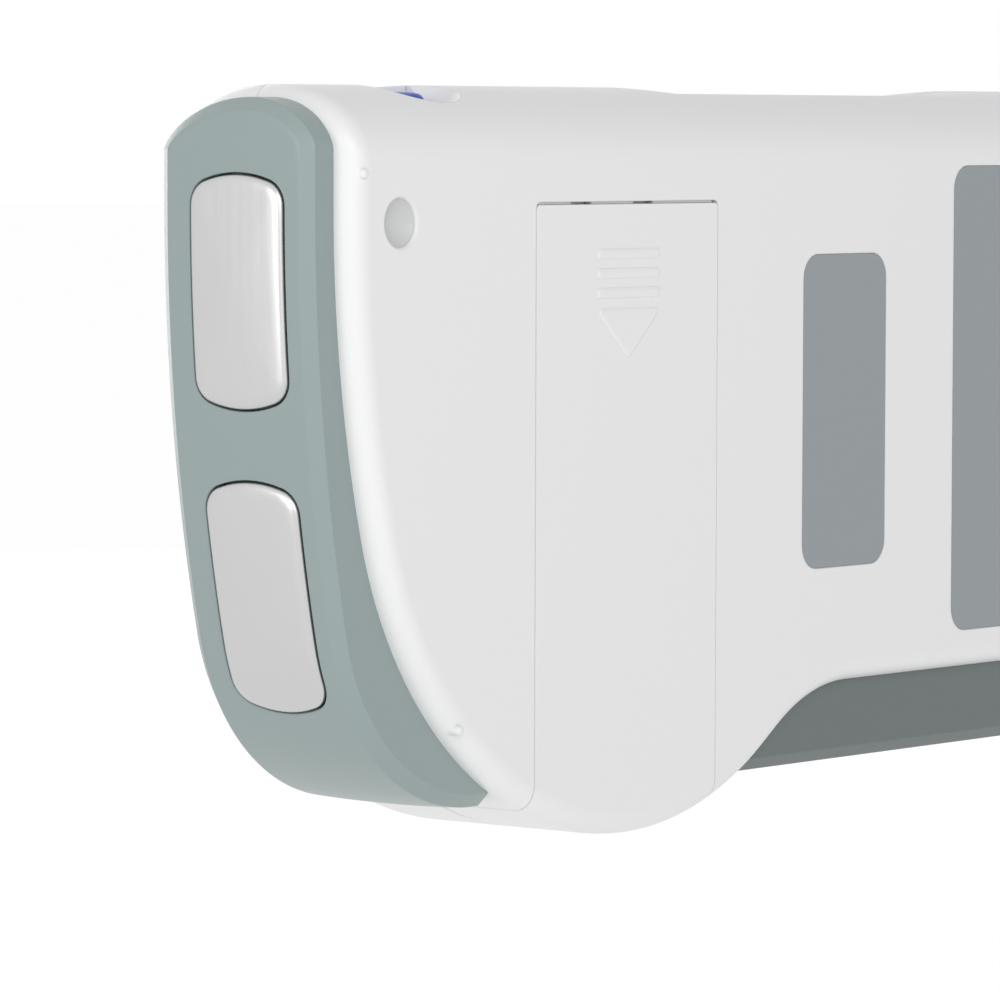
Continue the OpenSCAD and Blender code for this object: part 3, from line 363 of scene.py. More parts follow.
def round_rect(w, h, r, n=8):
    """A plan as a function of how far it is grown: a rectangle with round corners."""

    def plan(grow):
        a, b = w / 2 - r, h / 2 - r
        q = max(LEAST_PLAN_R, r + grow)
        return (
            arc(a, b, q, 0, 90, n)
            + arc(-a, b, q, 90, 180, n)
            + arc(-a, -b, q, 180, 270, n)
            + arc(a, -b, q, 270, 360, n)
        )

    return plan


def round_disc(r, n=40):
    """A plan as a function of how far it is grown: a circle."""

    def plan(grow):
        return arc(0, 0, r + grow, 0, 360 - 360 / n, n - 1)

    return plan


def electrode_plan(grow):
    """Plan (y, z) of an electrode plate: straight sides, bowed short edges, round corners."""
    half_w = ELECTRODE_W / 2 - ELECTRODE_R
    bow_z = ELECTRODE_H / 2 - ELECTRODE_BOW_R
    rise = math.sqrt((ELECTRODE_BOW_R - ELECTRODE_R) ** 2 - half_w**2)
    turn = math.degrees(math.atan2(rise, half_w))
    r = ELECTRODE_R + grow
    top = (
        arc(half_w, bow_z + rise, r, 0, turn, 8)
        + arc(0, bow_z, ELECTRODE_BOW_R + grow, turn + BOW_STOP, 180 - BOW_STOP - turn, 14)
        + arc(-half_w, bow_z + rise, r, 180 - turn, 180, 8)
    )
    down = [(-bow_z - rise) + (2 * (bow_z + rise)) * (1 - i / 12) for i in range(1, 12)]
    side = half_w + r
    left = [(-side, z) for z in down]
    right = [(side, z) for z in reversed(down)]
    return top + left + [(a, -b) for a, b in reversed(top)] + right


# ---- Meshes ----------------------------------------------------------------------------------


def raw_object(name, points, faces):
    """A new object in the scene from millimetre points."""
    mesh = bpy.data.meshes.new(name)
    mesh.from_pydata([[c * MM for c in p] for p in points], [], faces)
    obj = bpy.data.objects.new(name, mesh)
    bpy.context.scene.collection.objects.link(obj)
    b = bmesh.new()
    b.from_mesh(mesh)
    bmesh.ops.remove_doubles(b, verts=b.verts, dist=RAW_MERGE)
    bmesh.ops.dissolve_degenerate(b, edges=b.edges, dist=RAW_EMPTY)
    bmesh.ops.recalc_face_normals(b, faces=b.faces)
    b.to_mesh(mesh)
    b.free()
    return obj


def loft(name, rings, first_cap=True, last_cap=True):
    """Skin over rings with equal numbers of points."""
    n = len(rings[0])
    points = [p for ring in rings for p in ring]
    faces = []
    for j in range(len(rings) - 1):
        for i in range(n):
            k = (i + 1) % n
            faces.append((j * n + i, j * n + k, (j + 1) * n + k, (j + 1) * n + i))
    if first_cap:
        faces.append(tuple(range(n)))
    if last_cap:
        faces.append(tuple(range((len(rings) - 1) * n, len(rings) * n)))
    return raw_object(name, points, faces)


def stack(name, plan, edge, place, middle=()):
    """Loops of a plan at (inset, height), put in space by place(a, b, height).

    The middle, if there is one, goes on inside the last inset with shrunk loops (height, scale).
    """
    last = edge[-1][0]
    steps = [(inset, height, 1) for inset, height in edge]
    steps += [(last, height, scale) for height, scale in middle]
    rings = []
    for inset, height, scale in steps:
        rings.append([place(a * scale, b * scale, height) for a, b in plan(-inset)])
    return loft(name, rings)


def facing_back(x, z):
    """Place on the back plane, with heights growing towards +Y."""
    return lambda a, b, h: (x + a, BACK_Y + h, z + b)


def facing_front(x, z):
    """Place on the front plane, with heights growing towards -Y."""
    return lambda a, b, h: (x + a, FRONT_Y - h, z + b)


def facing_up(x, y):
    """Place seen from above, with heights as they are."""
    return lambda a, b, h: (x + a, y + b, h)


def prism_y(points, y0, y1):
    return loft("cutter", [[(x, y, z) for x, z in points] for y in (y0, y1)])


def prism_z(points, z0, z1):
    return loft("cutter", [[(x, y, z) for x, y in points] for z in (z0, z1)])


def block(low, high, name="cutter"):
    corners = [(low[0], low[2]), (high[0], low[2]), (high[0], high[2]), (low[0], high[2])]
    return loft(name, [[(x, y, z) for x, z in corners] for y in (low[1], high[1])])


def ball(x, y, z, r):
    """A fine sphere, as rings from pole to pole."""
    rings = []
    for i in range(1, 72):
        a = -90 + 2.5 * i
        rings.append([(x + r * cosd(a) * cosd(t), y + r * cosd(a) * sind(t), z + r * sind(a))
                      for t in range(0, 360, 4)])
    return loft("cutter", rings)


def cut(obj, cutters, operation="DIFFERENCE"):
    """Applies exact booleans one after another and removes the cutters."""
    for c in cutters:
        m = obj.modifiers.new("cut", "BOOLEAN")
        m.operation = operation
        m.object = c
        m.solver = "EXACT"
    bpy.context.view_layer.update()
    graph = bpy.context.evaluated_depsgraph_get()
    mesh = bpy.data.meshes.new_from_object(obj.evaluated_get(graph))
    obj.modifiers.clear()
    old = obj.data
    obj.data = mesh
    bpy.data.meshes.remove(old)
    for c in cutters:
        drop(c)
    return obj


def drop(obj):
    mesh = obj.data
    bpy.data.objects.remove(obj)
    bpy.data.meshes.remove(mesh)


def join(obj, others):
    """Adds the meshes of others to obj."""
    b = bmesh.new()
    b.from_mesh(obj.data)
    for o in others:
        b.from_mesh(o.data)
    b.to_mesh(obj.data)
    b.free()
    for o in others:
        drop(o)
    return obj


def flip_x(obj):
    """Turns a piece into its mirror image in the X plane."""
    b = bmesh.new()
    b.from_mesh(obj.data)
    bmesh.ops.scale(b, vec=(-1, 1, 1), verts=b.verts)
    bmesh.ops.reverse_faces(b, faces=b.faces)
    b.to_mesh(obj.data)
    b.free()
    return obj


def piece(obj, name, node, material):
    """Names, smooths and paints a piece that stands for a CAD node, and puts it on its body."""
    obj.name = name
    mesh = obj.data
    mesh.name = name
    b = bmesh.new()
    b.from_mesh(mesh)
    bmesh.ops.remove_doubles(b, verts=b.verts, dist=PIECE_MERGE)
    bmesh.ops.dissolve_degenerate(b, edges=b.edges, dist=PIECE_EMPTY)
    b.to_mesh(mesh)
    b.free()
    for p in mesh.polygons:
        p.use_smooth = True
    mesh.set_sharp_from_angle(angle=math.radians(SHARP))
    mesh.materials.clear()
    mesh.materials.append(material)
    m = obj.modifiers.new("even_normals", "WEIGHTED_NORMAL")
    m.keep_sharp = True
    m.weight = 60
    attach(obj, NODES[node]["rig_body"])
    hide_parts(node)
    return obj


# ---- Materials -------------------------------------------------------------------------------


def srgb(r, g, b):
    """Linear colour of an 8-bit screen colour."""
    out = []
    for c in (r, g, b):
        c = c / 255
        out.append(c / 12.92 if c <= 0.04045 else ((c + 0.055) / 1.055) ** 2.4)
    return (*out, 1.0)


def new_material(name):
    mat = bpy.data.materials.new(name)
    mat.use_nodes = True
    tree = mat.node_tree
    shader = tree.nodes["Principled BSDF"]
    return mat, tree, shader


def add(tree, kind, **values):
    node = tree.nodes.new(kind)
    for key, value in values.items():
        if hasattr(node, key):
            setattr(node, key, value)
        else:
            node.inputs[key].default_value = value
    return node


# Share of its colour that the darker part of a grain has
DARK_GRAIN = 0.985
# Depth of the grain in metres, how far it moves the roughness, and a metal's rounding in millimetres
PLASTIC_DEPTH = 2e-6
PLASTIC_SPREAD = 0.03
METAL_DEPTH = 4e-6
METAL_SPREAD = 0.08
METAL_EDGE = 0.1


def grain(tree, shader, color, rough, scale, depth, spread, stretch, edge):
    """Fine grain: a noise that moves the roughness, the tone and the surface a little."""
    coords = add(tree, "ShaderNodeTexCoord")
    mapping = add(tree, "ShaderNodeMapping")
    mapping.inputs["Scale"].default_value = stretch
    noise = add(tree, "ShaderNodeTexNoise", Scale=scale, Detail=3.0)
    tree.links.new(coords.outputs["Object"], mapping.inputs["Vector"])
    tree.links.new(mapping.outputs["Vector"], noise.inputs["Vector"])
    ramp = add(tree, "ShaderNodeMapRange")
    ramp.inputs["To Min"].default_value = rough - spread
    ramp.inputs["To Max"].default_value = rough + spread
    tree.links.new(noise.outputs["Fac"], ramp.inputs["Value"])
    tree.links.new(ramp.outputs["Result"], shader.inputs["Roughness"])
    tone = add(tree, "ShaderNodeMix", data_type="RGBA")
    ends = {"A": (*(c * DARK_GRAIN for c in color[:3]), 1.0), "B": color}
    for socket in tone.inputs:
        if socket.type == "RGBA":
            socket.default_value = ends[socket.name]
    tree.links.new(noise.outputs["Fac"], tone.inputs[0])
    result = next(s for s in tone.outputs if s.type == "RGBA")
    tree.links.new(result, shader.inputs["Base Color"])
    bump = add(tree, "ShaderNodeBump", Strength=0.5, Distance=depth)
    tree.links.new(noise.outputs["Fac"], bump.inputs["Height"])
    if edge > 0:
        bevel = add(tree, "ShaderNodeBevel", Radius=edge * MM)
        bevel.samples = 6
        tree.links.new(bevel.outputs["Normal"], bump.inputs["Normal"])
    tree.links.new(bump.outputs["Normal"], shader.inputs["Normal"])


def plastic(name, color, rough=0.4, scale=2500.0, edge=0.15, specular=0.5):
    mat, tree, shader = new_material(name)
    shader.inputs["Specular IOR Level"].default_value = specular
    grain(tree, shader, color, rough, scale, PLASTIC_DEPTH, PLASTIC_SPREAD, (1, 1, 1), edge)
    return mat


def metal(name, color, rough=0.3, stretch=(3000, 3000, 40)):
    mat, tree, shader = new_material(name)
    shader.inputs["Metallic"].default_value = 1.0
    grain(tree, shader, color, rough, 1.0, METAL_DEPTH, METAL_SPREAD, stretch, METAL_EDGE)
    return mat


def clear(name, color):
    mat, tree, shader = new_material(name)
    shader.inputs["Base Color"].default_value = color
    shader.inputs["Roughness"].default_value = 0.03
    shader.inputs["Transmission Weight"].default_value = 1.0
    shader.inputs["IOR"].default_value = 1.49
    return mat


WHITE = plastic("white_plastic", (0.82, 0.82, 0.822, 1), rough=0.42, edge=0.2)
DOOR_WHITE = plastic("door_plastic", (0.82, 0.82, 0.822, 1), rough=0.42, edge=0.12)
TEAL = plastic("grey_teal_plastic", srgb(143, 157, 156), rough=0.36, edge=0.12)
# Painted shade: a darker copy of the teal plastic for the lower trim, standing in for the shade under
# the white body's lower edge
TEAL_PAINTED_SHADE = plastic("teal_plastic_painted_shade", srgb(104, 113, 112), rough=0.5, edge=0.1, specular=0.4)
STEEL = metal("brushed_steel", (0.6, 0.6, 0.6, 1), rough=0.32)
BLUE = plastic("blue_plastic", srgb(34, 76, 178), rough=0.35, specular=0.2)
KEY_GREY = plastic("key_rubber", srgb(150, 160, 168), rough=0.5, specular=0.35)
KEY_BLUE = plastic("key_blue_rubber", srgb(60, 92, 176), rough=0.5, specular=0.35)
LABEL = plastic("label_foil", srgb(146, 152, 156), rough=0.42, edge=0.03, specular=0.4)
# Painted shade: the plugs are a darker grey than the shell, standing in for the shade in their dished
# hollows
PLUG_PAINTED_SHADE = plastic("plug_plastic_painted_shade", (0.60, 0.605, 0.61, 1), rough=0.45)
BLACK = plastic("black_plastic", (0.025, 0.026, 0.028, 1), rough=0.45)
BORDER = plastic("window_print", (0.015, 0.017, 0.02, 1), rough=0.3, edge=0.0)
PANEL = plastic("lcd_panel", srgb(142, 154, 140), rough=0.25, edge=0.05)
GLASS = clear("clear_window", (0.97, 0.98, 0.98, 1))
SILICONE = plastic("silicone", (0.62, 0.63, 0.63, 1), rough=0.6)
BRASS = metal("contact_brass", (0.78, 0.60, 0.30, 1), rough=0.3, stretch=(900, 900, 900))
TIN = metal("tin_plate", (0.70, 0.70, 0.70, 1), rough=0.35, stretch=(600, 600, 600))
SCREW = metal("zinc_screw", (0.55, 0.55, 0.57, 1), rough=0.35, stretch=(900, 900, 900))
BOARD = plastic("circuit_board", (0.02, 0.13, 0.06, 1), rough=0.4, scale=700.0, edge=0.05)
AMBER = plastic("ribbon_film", (0.62, 0.27, 0.04, 1), rough=0.35, edge=0.0)


def cell_material():
    """A plain cell: a dark sleeve with a copper-coloured band at its upper third."""
    mat, tree, shader = new_material("cell_sleeve")
    coords = add(tree, "ShaderNodeTexCoord")
    split = add(tree, "ShaderNodeSeparateXYZ")
    tree.links.new(coords.outputs["Generated"], split.inputs["Vector"])
    ramp = add(tree, "ShaderNodeValToRGB")
    ramp.color_ramp.interpolation = "CONSTANT"
    ramp.color_ramp.elements[0].position = 0.0
    ramp.color_ramp.elements[0].color = (0.05, 0.055, 0.06, 1)
    ramp.color_ramp.elements[1].position = 0.68
    ramp.color_ramp.elements[1].color = (0.50, 0.24, 0.08, 1)
    tip = ramp.color_ramp.elements.new(0.975)
    tip.color = (0.6, 0.6, 0.6, 1)
    tree.links.new(split.outputs["Z"], ramp.inputs["Fac"])
    tree.links.new(ramp.outputs["Color"], shader.inputs["Base Color"])
    shader.inputs["Roughness"].default_value = 0.3
    return mat


CELL = cell_material()

# ---- White shells ----------------------------------------------------------------------------


def body_rings(steps):
    return [[(x, y, z) for x, z in body_outline(inset, top)] for y, inset, top in steps]


def scoop_ball(extra=0.0):
    """Ball whose cap is the scoop, larger by extra."""
    r = (SCOOP_R**2 + SCOOP_DEPTH**2) / (2 * SCOOP_DEPTH)
    return ball(SCOOP_PLACE[0], SCOOP_PLACE[1], BODY_HEIGHT - SCOOP_DEPTH + r, r + extra)


def scoop_cup():
    """Wall under the scoop, kept inside the back half."""
    core = loft("cutter", body_rings(back_steps(SCOOP_SKIN, SEAM_Y + LIP_IN)))
    return cut(scoop_ball(SCOOP_WALL), [core], "INTERSECT")


def button_hole():
    plan = round_rect(BUTTON_L, BUTTON_W, BUTTON_W / 2 - BUTTON_FLAT)(BUTTON_GAP)
    x, y = BUTTON_PLACE
    return prism_z([(x + a, y + b) for a, b in plan], *BUTTON_HOLE_Z)


def top_recess():
    x, z = RECESS_X, BODY_HEIGHT - RECESS_DEPTH
    half = RECESS_LEN / 2
    over = z + RECESS_DEPTH * RECESS_OVER
    reach = half + RECESS_RAMP * RECESS_OVER
    points = [(x - half, z), (x + half, z), (x + reach, over), (x - reach, over)]
    return prism_y(points, FRONT_Y - PAST, BACK_Y + PAST)


def shell(name, outer, inner):
    """A closed thin shell between an outer and an inner list of steps that meet at the seam."""
    return loft(name, body_rings(outer + list(reversed(inner))))


def door_plan(side, top):
    """Door outline (x, z) with round top corners, smaller by side and top."""
    half = DOOR_W / 2 - side
    head = DOOR_TOP - top
    r = DOOR_CORNER_R - side
    return (
        [(DOOR_X - half, DOOR_BELOW), (DOOR_X + half, DOOR_BELOW)]
        + arc(DOOR_X + half - r, head - r, r, 0, 90, 6)
        + arc(DOOR_X - half + r, head - r, r, 90, 180, 6)
    )


def build_bay():
    """Box round the cells, open towards the door."""
    x, back = DOOR_X, BACK_Y
    half = BAY_HALF - BAY_WALL
    mouth_y = back - DOOR_T - BAY_MOUTH
    bay = block((x - BAY_HALF, BAY_FRONT, BAY_LOW), (x + BAY_HALF, back - WALL, BAY_HIGH), "bay")
    room = block((x - half, BAY_FRONT + BAY_WALL, BAY_LOW + BAY_WALL),
                 (x + half, back + PAST, BAY_HIGH - 2 * BAY_WALL))
    mouth = block((x - half, mouth_y, 0), (x + half, back + PAST, DOOR_TOP))
    return cut(bay, [room, mouth])


def build_ledges():
    """Strips behind the door's seams: over its top edge between the latches, and at both sides."""
    x0, x1 = DOOR_X - DOOR_W / 2, DOOR_X + DOOR_W / 2
    stops = [x0 + LEDGE_END]
    stops += [x + side for x in reversed(LATCHES) for side in (-NOTCH_HALF, NOTCH_HALF)]
    stops.append(x1 - LEDGE_END)
    ledges = []
    for a, b in zip(stops[::2], stops[1::2]):
        ledges.append(block((a, BACK_Y - LEDGE_BEHIND, DOOR_TOP - TOP_SEAM + TOP_CLEAR),
                            (b, BACK_Y - LEDGE_DEPTH, DOOR_TOP + LEDGE_W), "ledge"))
    for x, side in ((x0, 1), (x1, -1)):
        a, b = sorted((x - side * LEDGE_W, x + side * (SIDE_SEAM - SIDE_CLEAR)))
        ledge = block((a, BACK_Y - LEDGE_BEHIND, LEDGE_LOW),
                      (b, BACK_Y + PAST, DOOR_TOP - LEDGE_END), "ledge")
        core = loft("cutter", body_rings(back_steps(SIDE_LEDGE, SEAM_Y)))
        ledges.append(cut(ledge, [core], "INTERSECT"))
    return ledges


def build_back_cover():
    seam = SEAM_Y + SEAM_HALF
    outer = back_steps(0.0, seam + LIP_L) + [(seam, LIP_IN, top_at(seam) - LIP_IN)]
    inner = back_steps(WALL, seam)
    obj = shell("back_cover", outer, inner)
    cut(obj, [scoop_cup()], "UNION")
    cutters = [scoop_ball(), button_hole(), top_recess()]
    cutters.append(prism_y(door_plan(0, 0), SEAM_Y - PAST, BACK_Y + 2 * PAST))
    for x, z in PLUG_PLACES:
        cutters.append(stack("cutter", round_disc(PLUG_R), PLUG_HOLE, facing_back(x, z)))
    for x, z, w, h in (SERIAL_LABEL, RATING_LABEL):
        plan = [(x + a, z + b) for a, b in round_rect(w, h, LABEL_R)(LABEL_GAP)]
        cutters.append(prism_y(plan, BACK_Y - LABEL_BED, BACK_Y + PAST))
    cut(obj, cutters)
    extras = [build_bay()]
    for x, z in PIP_PLACES:
        extras.append(stack("pip", round_disc(PIP_R, 24), PIP_EDGE, facing_back(x, z)))
    join(obj, extras + build_ledges())
    return piece(obj, "back_shell", "back_cover", WHITE)


def key_places():
    """Centres (x, z) of the keys, by node."""
    cells = (("up_key", -1, 1), ("down_key", -1, -1), ("select_key", 1, 1), ("power_key", 1, -1))
    x, z = KEY_PLACE
    return {node: (x + c * KEY_STEP_X / 2, z + r * KEY_STEP_Z / 2) for node, c, r in cells}


def build_front_housing():
    seam = SEAM_Y - SEAM_HALF
    outer = [(seam, LIP_IN, top_at(seam) - LIP_IN)] + front_steps(0.0, seam - LIP_L)
    inner = front_steps(WALL, seam)
    obj = loft("front_housing", body_rings(list(reversed(outer)) + inner))
    cutters = [scoop_ball(), button_hole(), top_recess()]
    x, z = WINDOW_PLACE
    plan = round_rect(WINDOW_W, WINDOW_H, WINDOW_R)
    pocket = [(x + a, z + b) for a, b in plan(0)]
    cutters.append(prism_y(pocket, FRONT_Y - PAST, FRONT_Y + WINDOW_POCKET))
    inside = [(x + a, z + b) for a, b in plan(-WINDOW_LEDGE)]
    cutters.append(prism_y(inside, FRONT_Y - PAST, FRONT_Y + FRONT_CUT))
    key = round_rect(KEY_W, KEY_H, KEY_R)
    for x, z in sorted(key_places().values()):
        hole = [(x + a, z + b) for a, b in key(KEY_GAP)]
        cutters.append(prism_y(hole, FRONT_Y - PAST, FRONT_Y + FRONT_CUT))
    cutters.append(block((RECESS_X - SOCKET_HALF, SOCKET_Y[0], SOCKET_Z[0]),
                         (RECESS_X + SOCKET_HALF, SOCKET_Y[1], SOCKET_Z[1])))
    cut(obj, cutters)
    return piece(obj, "front_shell", "front_housing", WHITE)


def arrow_plan(grow):
    """Arrow head that points down, with round corners."""
    r = RIB_R + grow
    return (
        arc(ARROW_HALF, ARROW_BASE, r, -45, 90, 6)
        + arc(-ARROW_HALF, ARROW_BASE, r, 90, 225, 6)
        + arc(0.0, ARROW_TIP, r, 225, 315, 6)
    )


def build_door():
    seam = SEAM_Y + DOOR_FRONT_GAP
    outer = back_steps(0.0, seam + DOOR_LIP_L) + [(seam, LIP_IN, top_at(seam) - LIP_IN)]
    obj = shell("battery_cover", outer, back_steps(DOOR_T, seam))
    cut(obj, [prism_y(door_plan(SIDE_SEAM, TOP_SEAM), seam - PAST, BACK_Y + PAST)], "INTERSECT")
    marks = []
    bar = round_rect(RIB_W, RIB_H, RIB_R, 5)
    for i in range(RIB_COUNT):
        marks.append(stack("rib", bar, MARK_EDGE, facing_back(DOOR_X, RIB_TOP - i * RIB_STEP)))
    marks.append(stack("arrow", arrow_plan, MARK_EDGE, facing_back(DOOR_X, ARROW_Z)))
    for x in LATCHES:
        marks.append(block((x - LATCH_HALF, BACK_Y - LEDGE_BEHIND, DOOR_TOP - LATCH_IN),
                           (x + LATCH_HALF, BACK_Y - LATCH_BEHIND, DOOR_TOP + LATCH_OUT), "latch"))
    join(obj, marks)
    return piece(obj, "battery_door", "battery_cover", DOOR_WHITE)


# ---- Bumper ----------------------------------------------------------------------------------

BUMPER_MID = (BUMPER_BACK_Y + BUMPER_FRONT_Y) / 2
BUMPER_HALF = (BUMPER_BACK_Y - BUMPER_FRONT_Y) / 2
BUMPER_BASE = BUMPER_TOP - BUMPER_RISE
CORNER_Z = BUMPER_Z + BUMPER_CORNER_R
CORNER_ANGLE = math.degrees(math.asin((END_CURVE_Z - CORNER_Z) / (BUMPER_FACE_R - BUMPER_CORNER_R)))
CORNER_X = HALF_LEN - BUMPER_FACE_R + (BUMPER_FACE_R - BUMPER_CORNER_R) * cosd(CORNER_ANGLE)
FACE_X = HALF_LEN - BUMPER_FACE_R

# Chamfered edge of the bumper: (distance in from the edge, depth below the face)
EDGE = ((0, 0.74), (0.03, 0.66), (0.99, 0.02), (1.05, 0), (1.5, 0))
# How much deeper the chamfer is along the bottom than up the end
BOTTOM_SLANT = 0.45
# Limits of the distance from the face in to the body
REACH_LEAST = 0.2
REACH_MOST = 14.0
# How far the chamfer stays over the row's inner end, and what counts as parallel
CHAMFER_SHY = 0.05
PARALLEL = 1e-9


def face_at(z):
    """Place and outward direction (x, dx, dz) of the bumper's face at the height z."""
    if z >= END_CURVE_Z:
        return HALF_LEN, 1.0, 0.0
    s = (z - END_CURVE_Z) / BUMPER_FACE_R
    if s > -sind(CORNER_ANGLE):
        c = math.sqrt(1 - s * s)
        return FACE_X + BUMPER_FACE_R * c, c, s
    s = max(-1.0, (z - CORNER_Z) / BUMPER_CORNER_R)
    c = math.sqrt(1 - s * s)
    return CORNER_X + BUMPER_CORNER_R * c, c, s


def end_stations():
    """Stations (x, z, dx, dz) up the bumper's face, from its tip to the foot of the arch."""
    tip_x = HALF_LEN - BUMPER_REACH
    stations = [(tip_x, BUMPER_Z, 0.0, -1.0)]
    for i in range(33):
        a = -90 + (90 - CORNER_ANGLE) * i / 32
        stations.append((CORNER_X + BUMPER_CORNER_R * cosd(a), CORNER_Z + BUMPER_CORNER_R * sind(a),
                         cosd(a), sind(a)))
    for i in range(1, 17):
        a = -CORNER_ANGLE * (1 - i / 16)
        stations.append((FACE_X + BUMPER_FACE_R * cosd(a), END_CURVE_Z + BUMPER_FACE_R * sind(a),
                         cosd(a), sind(a)))
    for i in range(1, 4):
        stations.append((HALF_LEN, END_CURVE_Z + (BUMPER_BASE - END_CURVE_Z) * i / 3, 1.0, 0.0))
    return stations


def reach_core(x, z, dx, dz, outline):
    """Distance from a point on the bumper inwards to the core's outline."""
    best = REACH_MOST
    n = len(outline)
    for i in range(n):
        (ax, az), (bx, bz) = outline[i], outline[(i + 1) % n]
        ex, ez = bx - ax, bz - az
        det = dx * ez - dz * ex
        if abs(det) < PARALLEL:
            continue
        t = ((x - ax) * ez - (z - az) * ex) / det
        u = ((z - az) * dx - (x - ax) * dz) / det
        if 0 <= u <= 1 and REACH_LEAST < t < best:
            best = t
    return best


def bumper_row(left, right, station_of, deep, slant=1.0):
    """One row across the bumper, from the core up over an edge, across and down the other."""
    row = []
    edge = ((0, deep),) + tuple((e, min(d * slant, deep - CHAMFER_SHY)) for e, d in EDGE)

    def put(y, z_key, depth):
        x, z, dx, dz = station_of(z_key)
        drop_in = depth + BUMPER_CROWN * ((y - BUMPER_MID) / BUMPER_HALF) ** 2
        row.append((x - dx * drop_in, y, z - dz * drop_in))

    for e, d in edge:
        y, z = left(e)
        put(y, z, d)
    inner = edge[-1][0]
    (ya, za), (yb, zb) = left(inner), right(inner)
    for i in range(1, 10):
        t = i / 10
        put(ya + (yb - ya) * t, za + (zb - za) * t, 0)
    for e, d in reversed(edge):
        y, z = right(e)
        put(y, z, d)
    return row


def on_arch(t, inset, reach):
    """Point (y, z) at the angle t of one flank of the arch, moved in by inset."""
    y = BUMPER_CREST_Y + (reach - math.copysign(inset, reach)) * cosd(t)
    peak = BACK_PEAK if reach > 0 else FRONT_PEAK
    return y, BUMPER_BASE + (BUMPER_RISE - inset) * sind(t) ** peak


def end_cap(core):
    """End piece at +X round a core whose outline is given, with its arch at the top."""
    rows = []
    for x, z, dx, dz in end_stations():
        deep = reach_core(x, z, dx, dz, core) + CORE_OVERLAP
        rows.append(bumper_row(
            lambda e: (BUMPER_FRONT_Y + e, 0),
            lambda e: (BUMPER_BACK_Y - e, 0),
            lambda key, s=(x, z, dx, dz): s,
            deep,
            1 + BOTTOM_SLANT * abs(dz),
        ))
    for i in range(1, 29):
        t = 90 * i / 28
        rows.append(bumper_row(
            lambda e: on_arch(t, e, BUMPER_FRONT_Y - BUMPER_CREST_Y),
            lambda e: on_arch(t, e, BUMPER_BACK_Y - BUMPER_CREST_Y),
            lambda key: (HALF_LEN, key, 1.0, 0.0),
            FLANGE + ARCH_OVERLAP,
        ))
    return loft("end_cap", rows, last_cap=False)


def on_face(z0):
    """Place on the bumper's face round the height z0, with heights growing outwards."""

    def place(a, b, h):
        x, dx, dz = face_at(z0 + b)
        lift = h - BUMPER_CROWN * ((ELECTRODE_Y + a - BUMPER_MID) / BUMPER_HALF) ** 2
        return (x + dx * lift, ELECTRODE_Y + a, z0 + b + dz * lift)

    return place


def electrode_cutter(z):
    gap, wide = -ELECTRODE_GAP, -ELECTRODE_GAP - ELECTRODE_FLARE
    low, high = ELECTRODE_RIM
    edge = ((gap, -ELECTRODE_SEAT), (gap, low), (wide, high), (wide, PAST))
    return stack("cutter", electrode_plan, edge, on_face(z))


def electrode(z, name, node):
    rim = PLATE_EDGE[-1][1]
    shares = (0.9, 0.75, 0.6, 0.45, 0.3, 0.15, 0.03)
    middle = [(rim + PLATE_CROWN * (1 - s * s), s) for s in shares]
    obj = stack(name, electrode_plan, PLATE_EDGE, on_face(z), middle)
    if node == "far_electrode":
        flip_x(obj)
    return piece(obj, name, node, STEEL)


def build_bumper():
    core = body_outline(0.0, BODY_HEIGHT)
    cap = end_cap(core)
    cut(cap, [electrode_cutter(UPPER_ELECTRODE_Z), electrode_cutter(LOWER_ELECTRODE_Z)])
    piece(cap, "near_bumper", "near_end_cap", TEAL)
    mirrored = [(-x, z) for x, z in core]
    cap = end_cap(mirrored)
    cut(cap, [electrode_cutter(FAR_ELECTRODE_Z)])
    piece(flip_x(cap), "far_bumper", "far_end_cap", TEAL)
    x0 = -HALF_LEN + BUMPER_REACH + TRIM_GAP
    x1 = BELLY_X - BELLY_FAR_R * math.sin(math.acos(1 - (BUMPER_Z + TRIM_TIP) / BELLY_FAR_R))
    rows = []
    for i in range(49):
        x = x0 + (x1 - x0) * i / 48
        deep = reach_core(x, BUMPER_Z, 0.0, -1.0, core) + CORE_OVERLAP
        rows.append(bumper_row(
            lambda e: (BUMPER_FRONT_Y + e, 0),
            lambda e: (BUMPER_BACK_Y - e, 0),
            lambda key: (x, BUMPER_Z, 0.0, -1.0),
            deep,
            1 + BOTTOM_SLANT,
        ))
    trim = loft("trim", rows)
    # The lower trim takes the teal with painted shade
    piece(trim, "lower_bumper", "lower_trim", TEAL_PAINTED_SHADE)


# ---- Small pieces ----------------------------------------------------------------------------


def build_button():
    plan = round_rect(BUTTON_L, BUTTON_W, BUTTON_W / 2 - BUTTON_FLAT, 14)
    edge = [(0, BUTTON_ROOT)] + [(inset, BUTTON_TOP - depth) for inset, depth in BUTTON_EDGE]
    middle = [(BUTTON_TOP - BUTTON_CROWN * s * s, s) for s in (0.85, 0.6, 0.35, 0.1)]
    obj = stack("button", plan, edge, facing_up(*BUTTON_PLACE), middle)
    piece(obj, "measure_key", "measure_button", BLUE)


def build_keys():
    plan = round_rect(KEY_W, KEY_H, KEY_R, 10)
    middle = [(KEY_TOP - KEY_CROWN * s, s) for s in (0.8, 0.5, 0.2)]
    for node, (x, z) in key_places().items():
        obj = stack(node, plan, KEY_EDGE, facing_front(x, z), middle)
        power = node == "power_key"
        piece(obj, node + "_cap", node, KEY_BLUE if power else KEY_GREY)


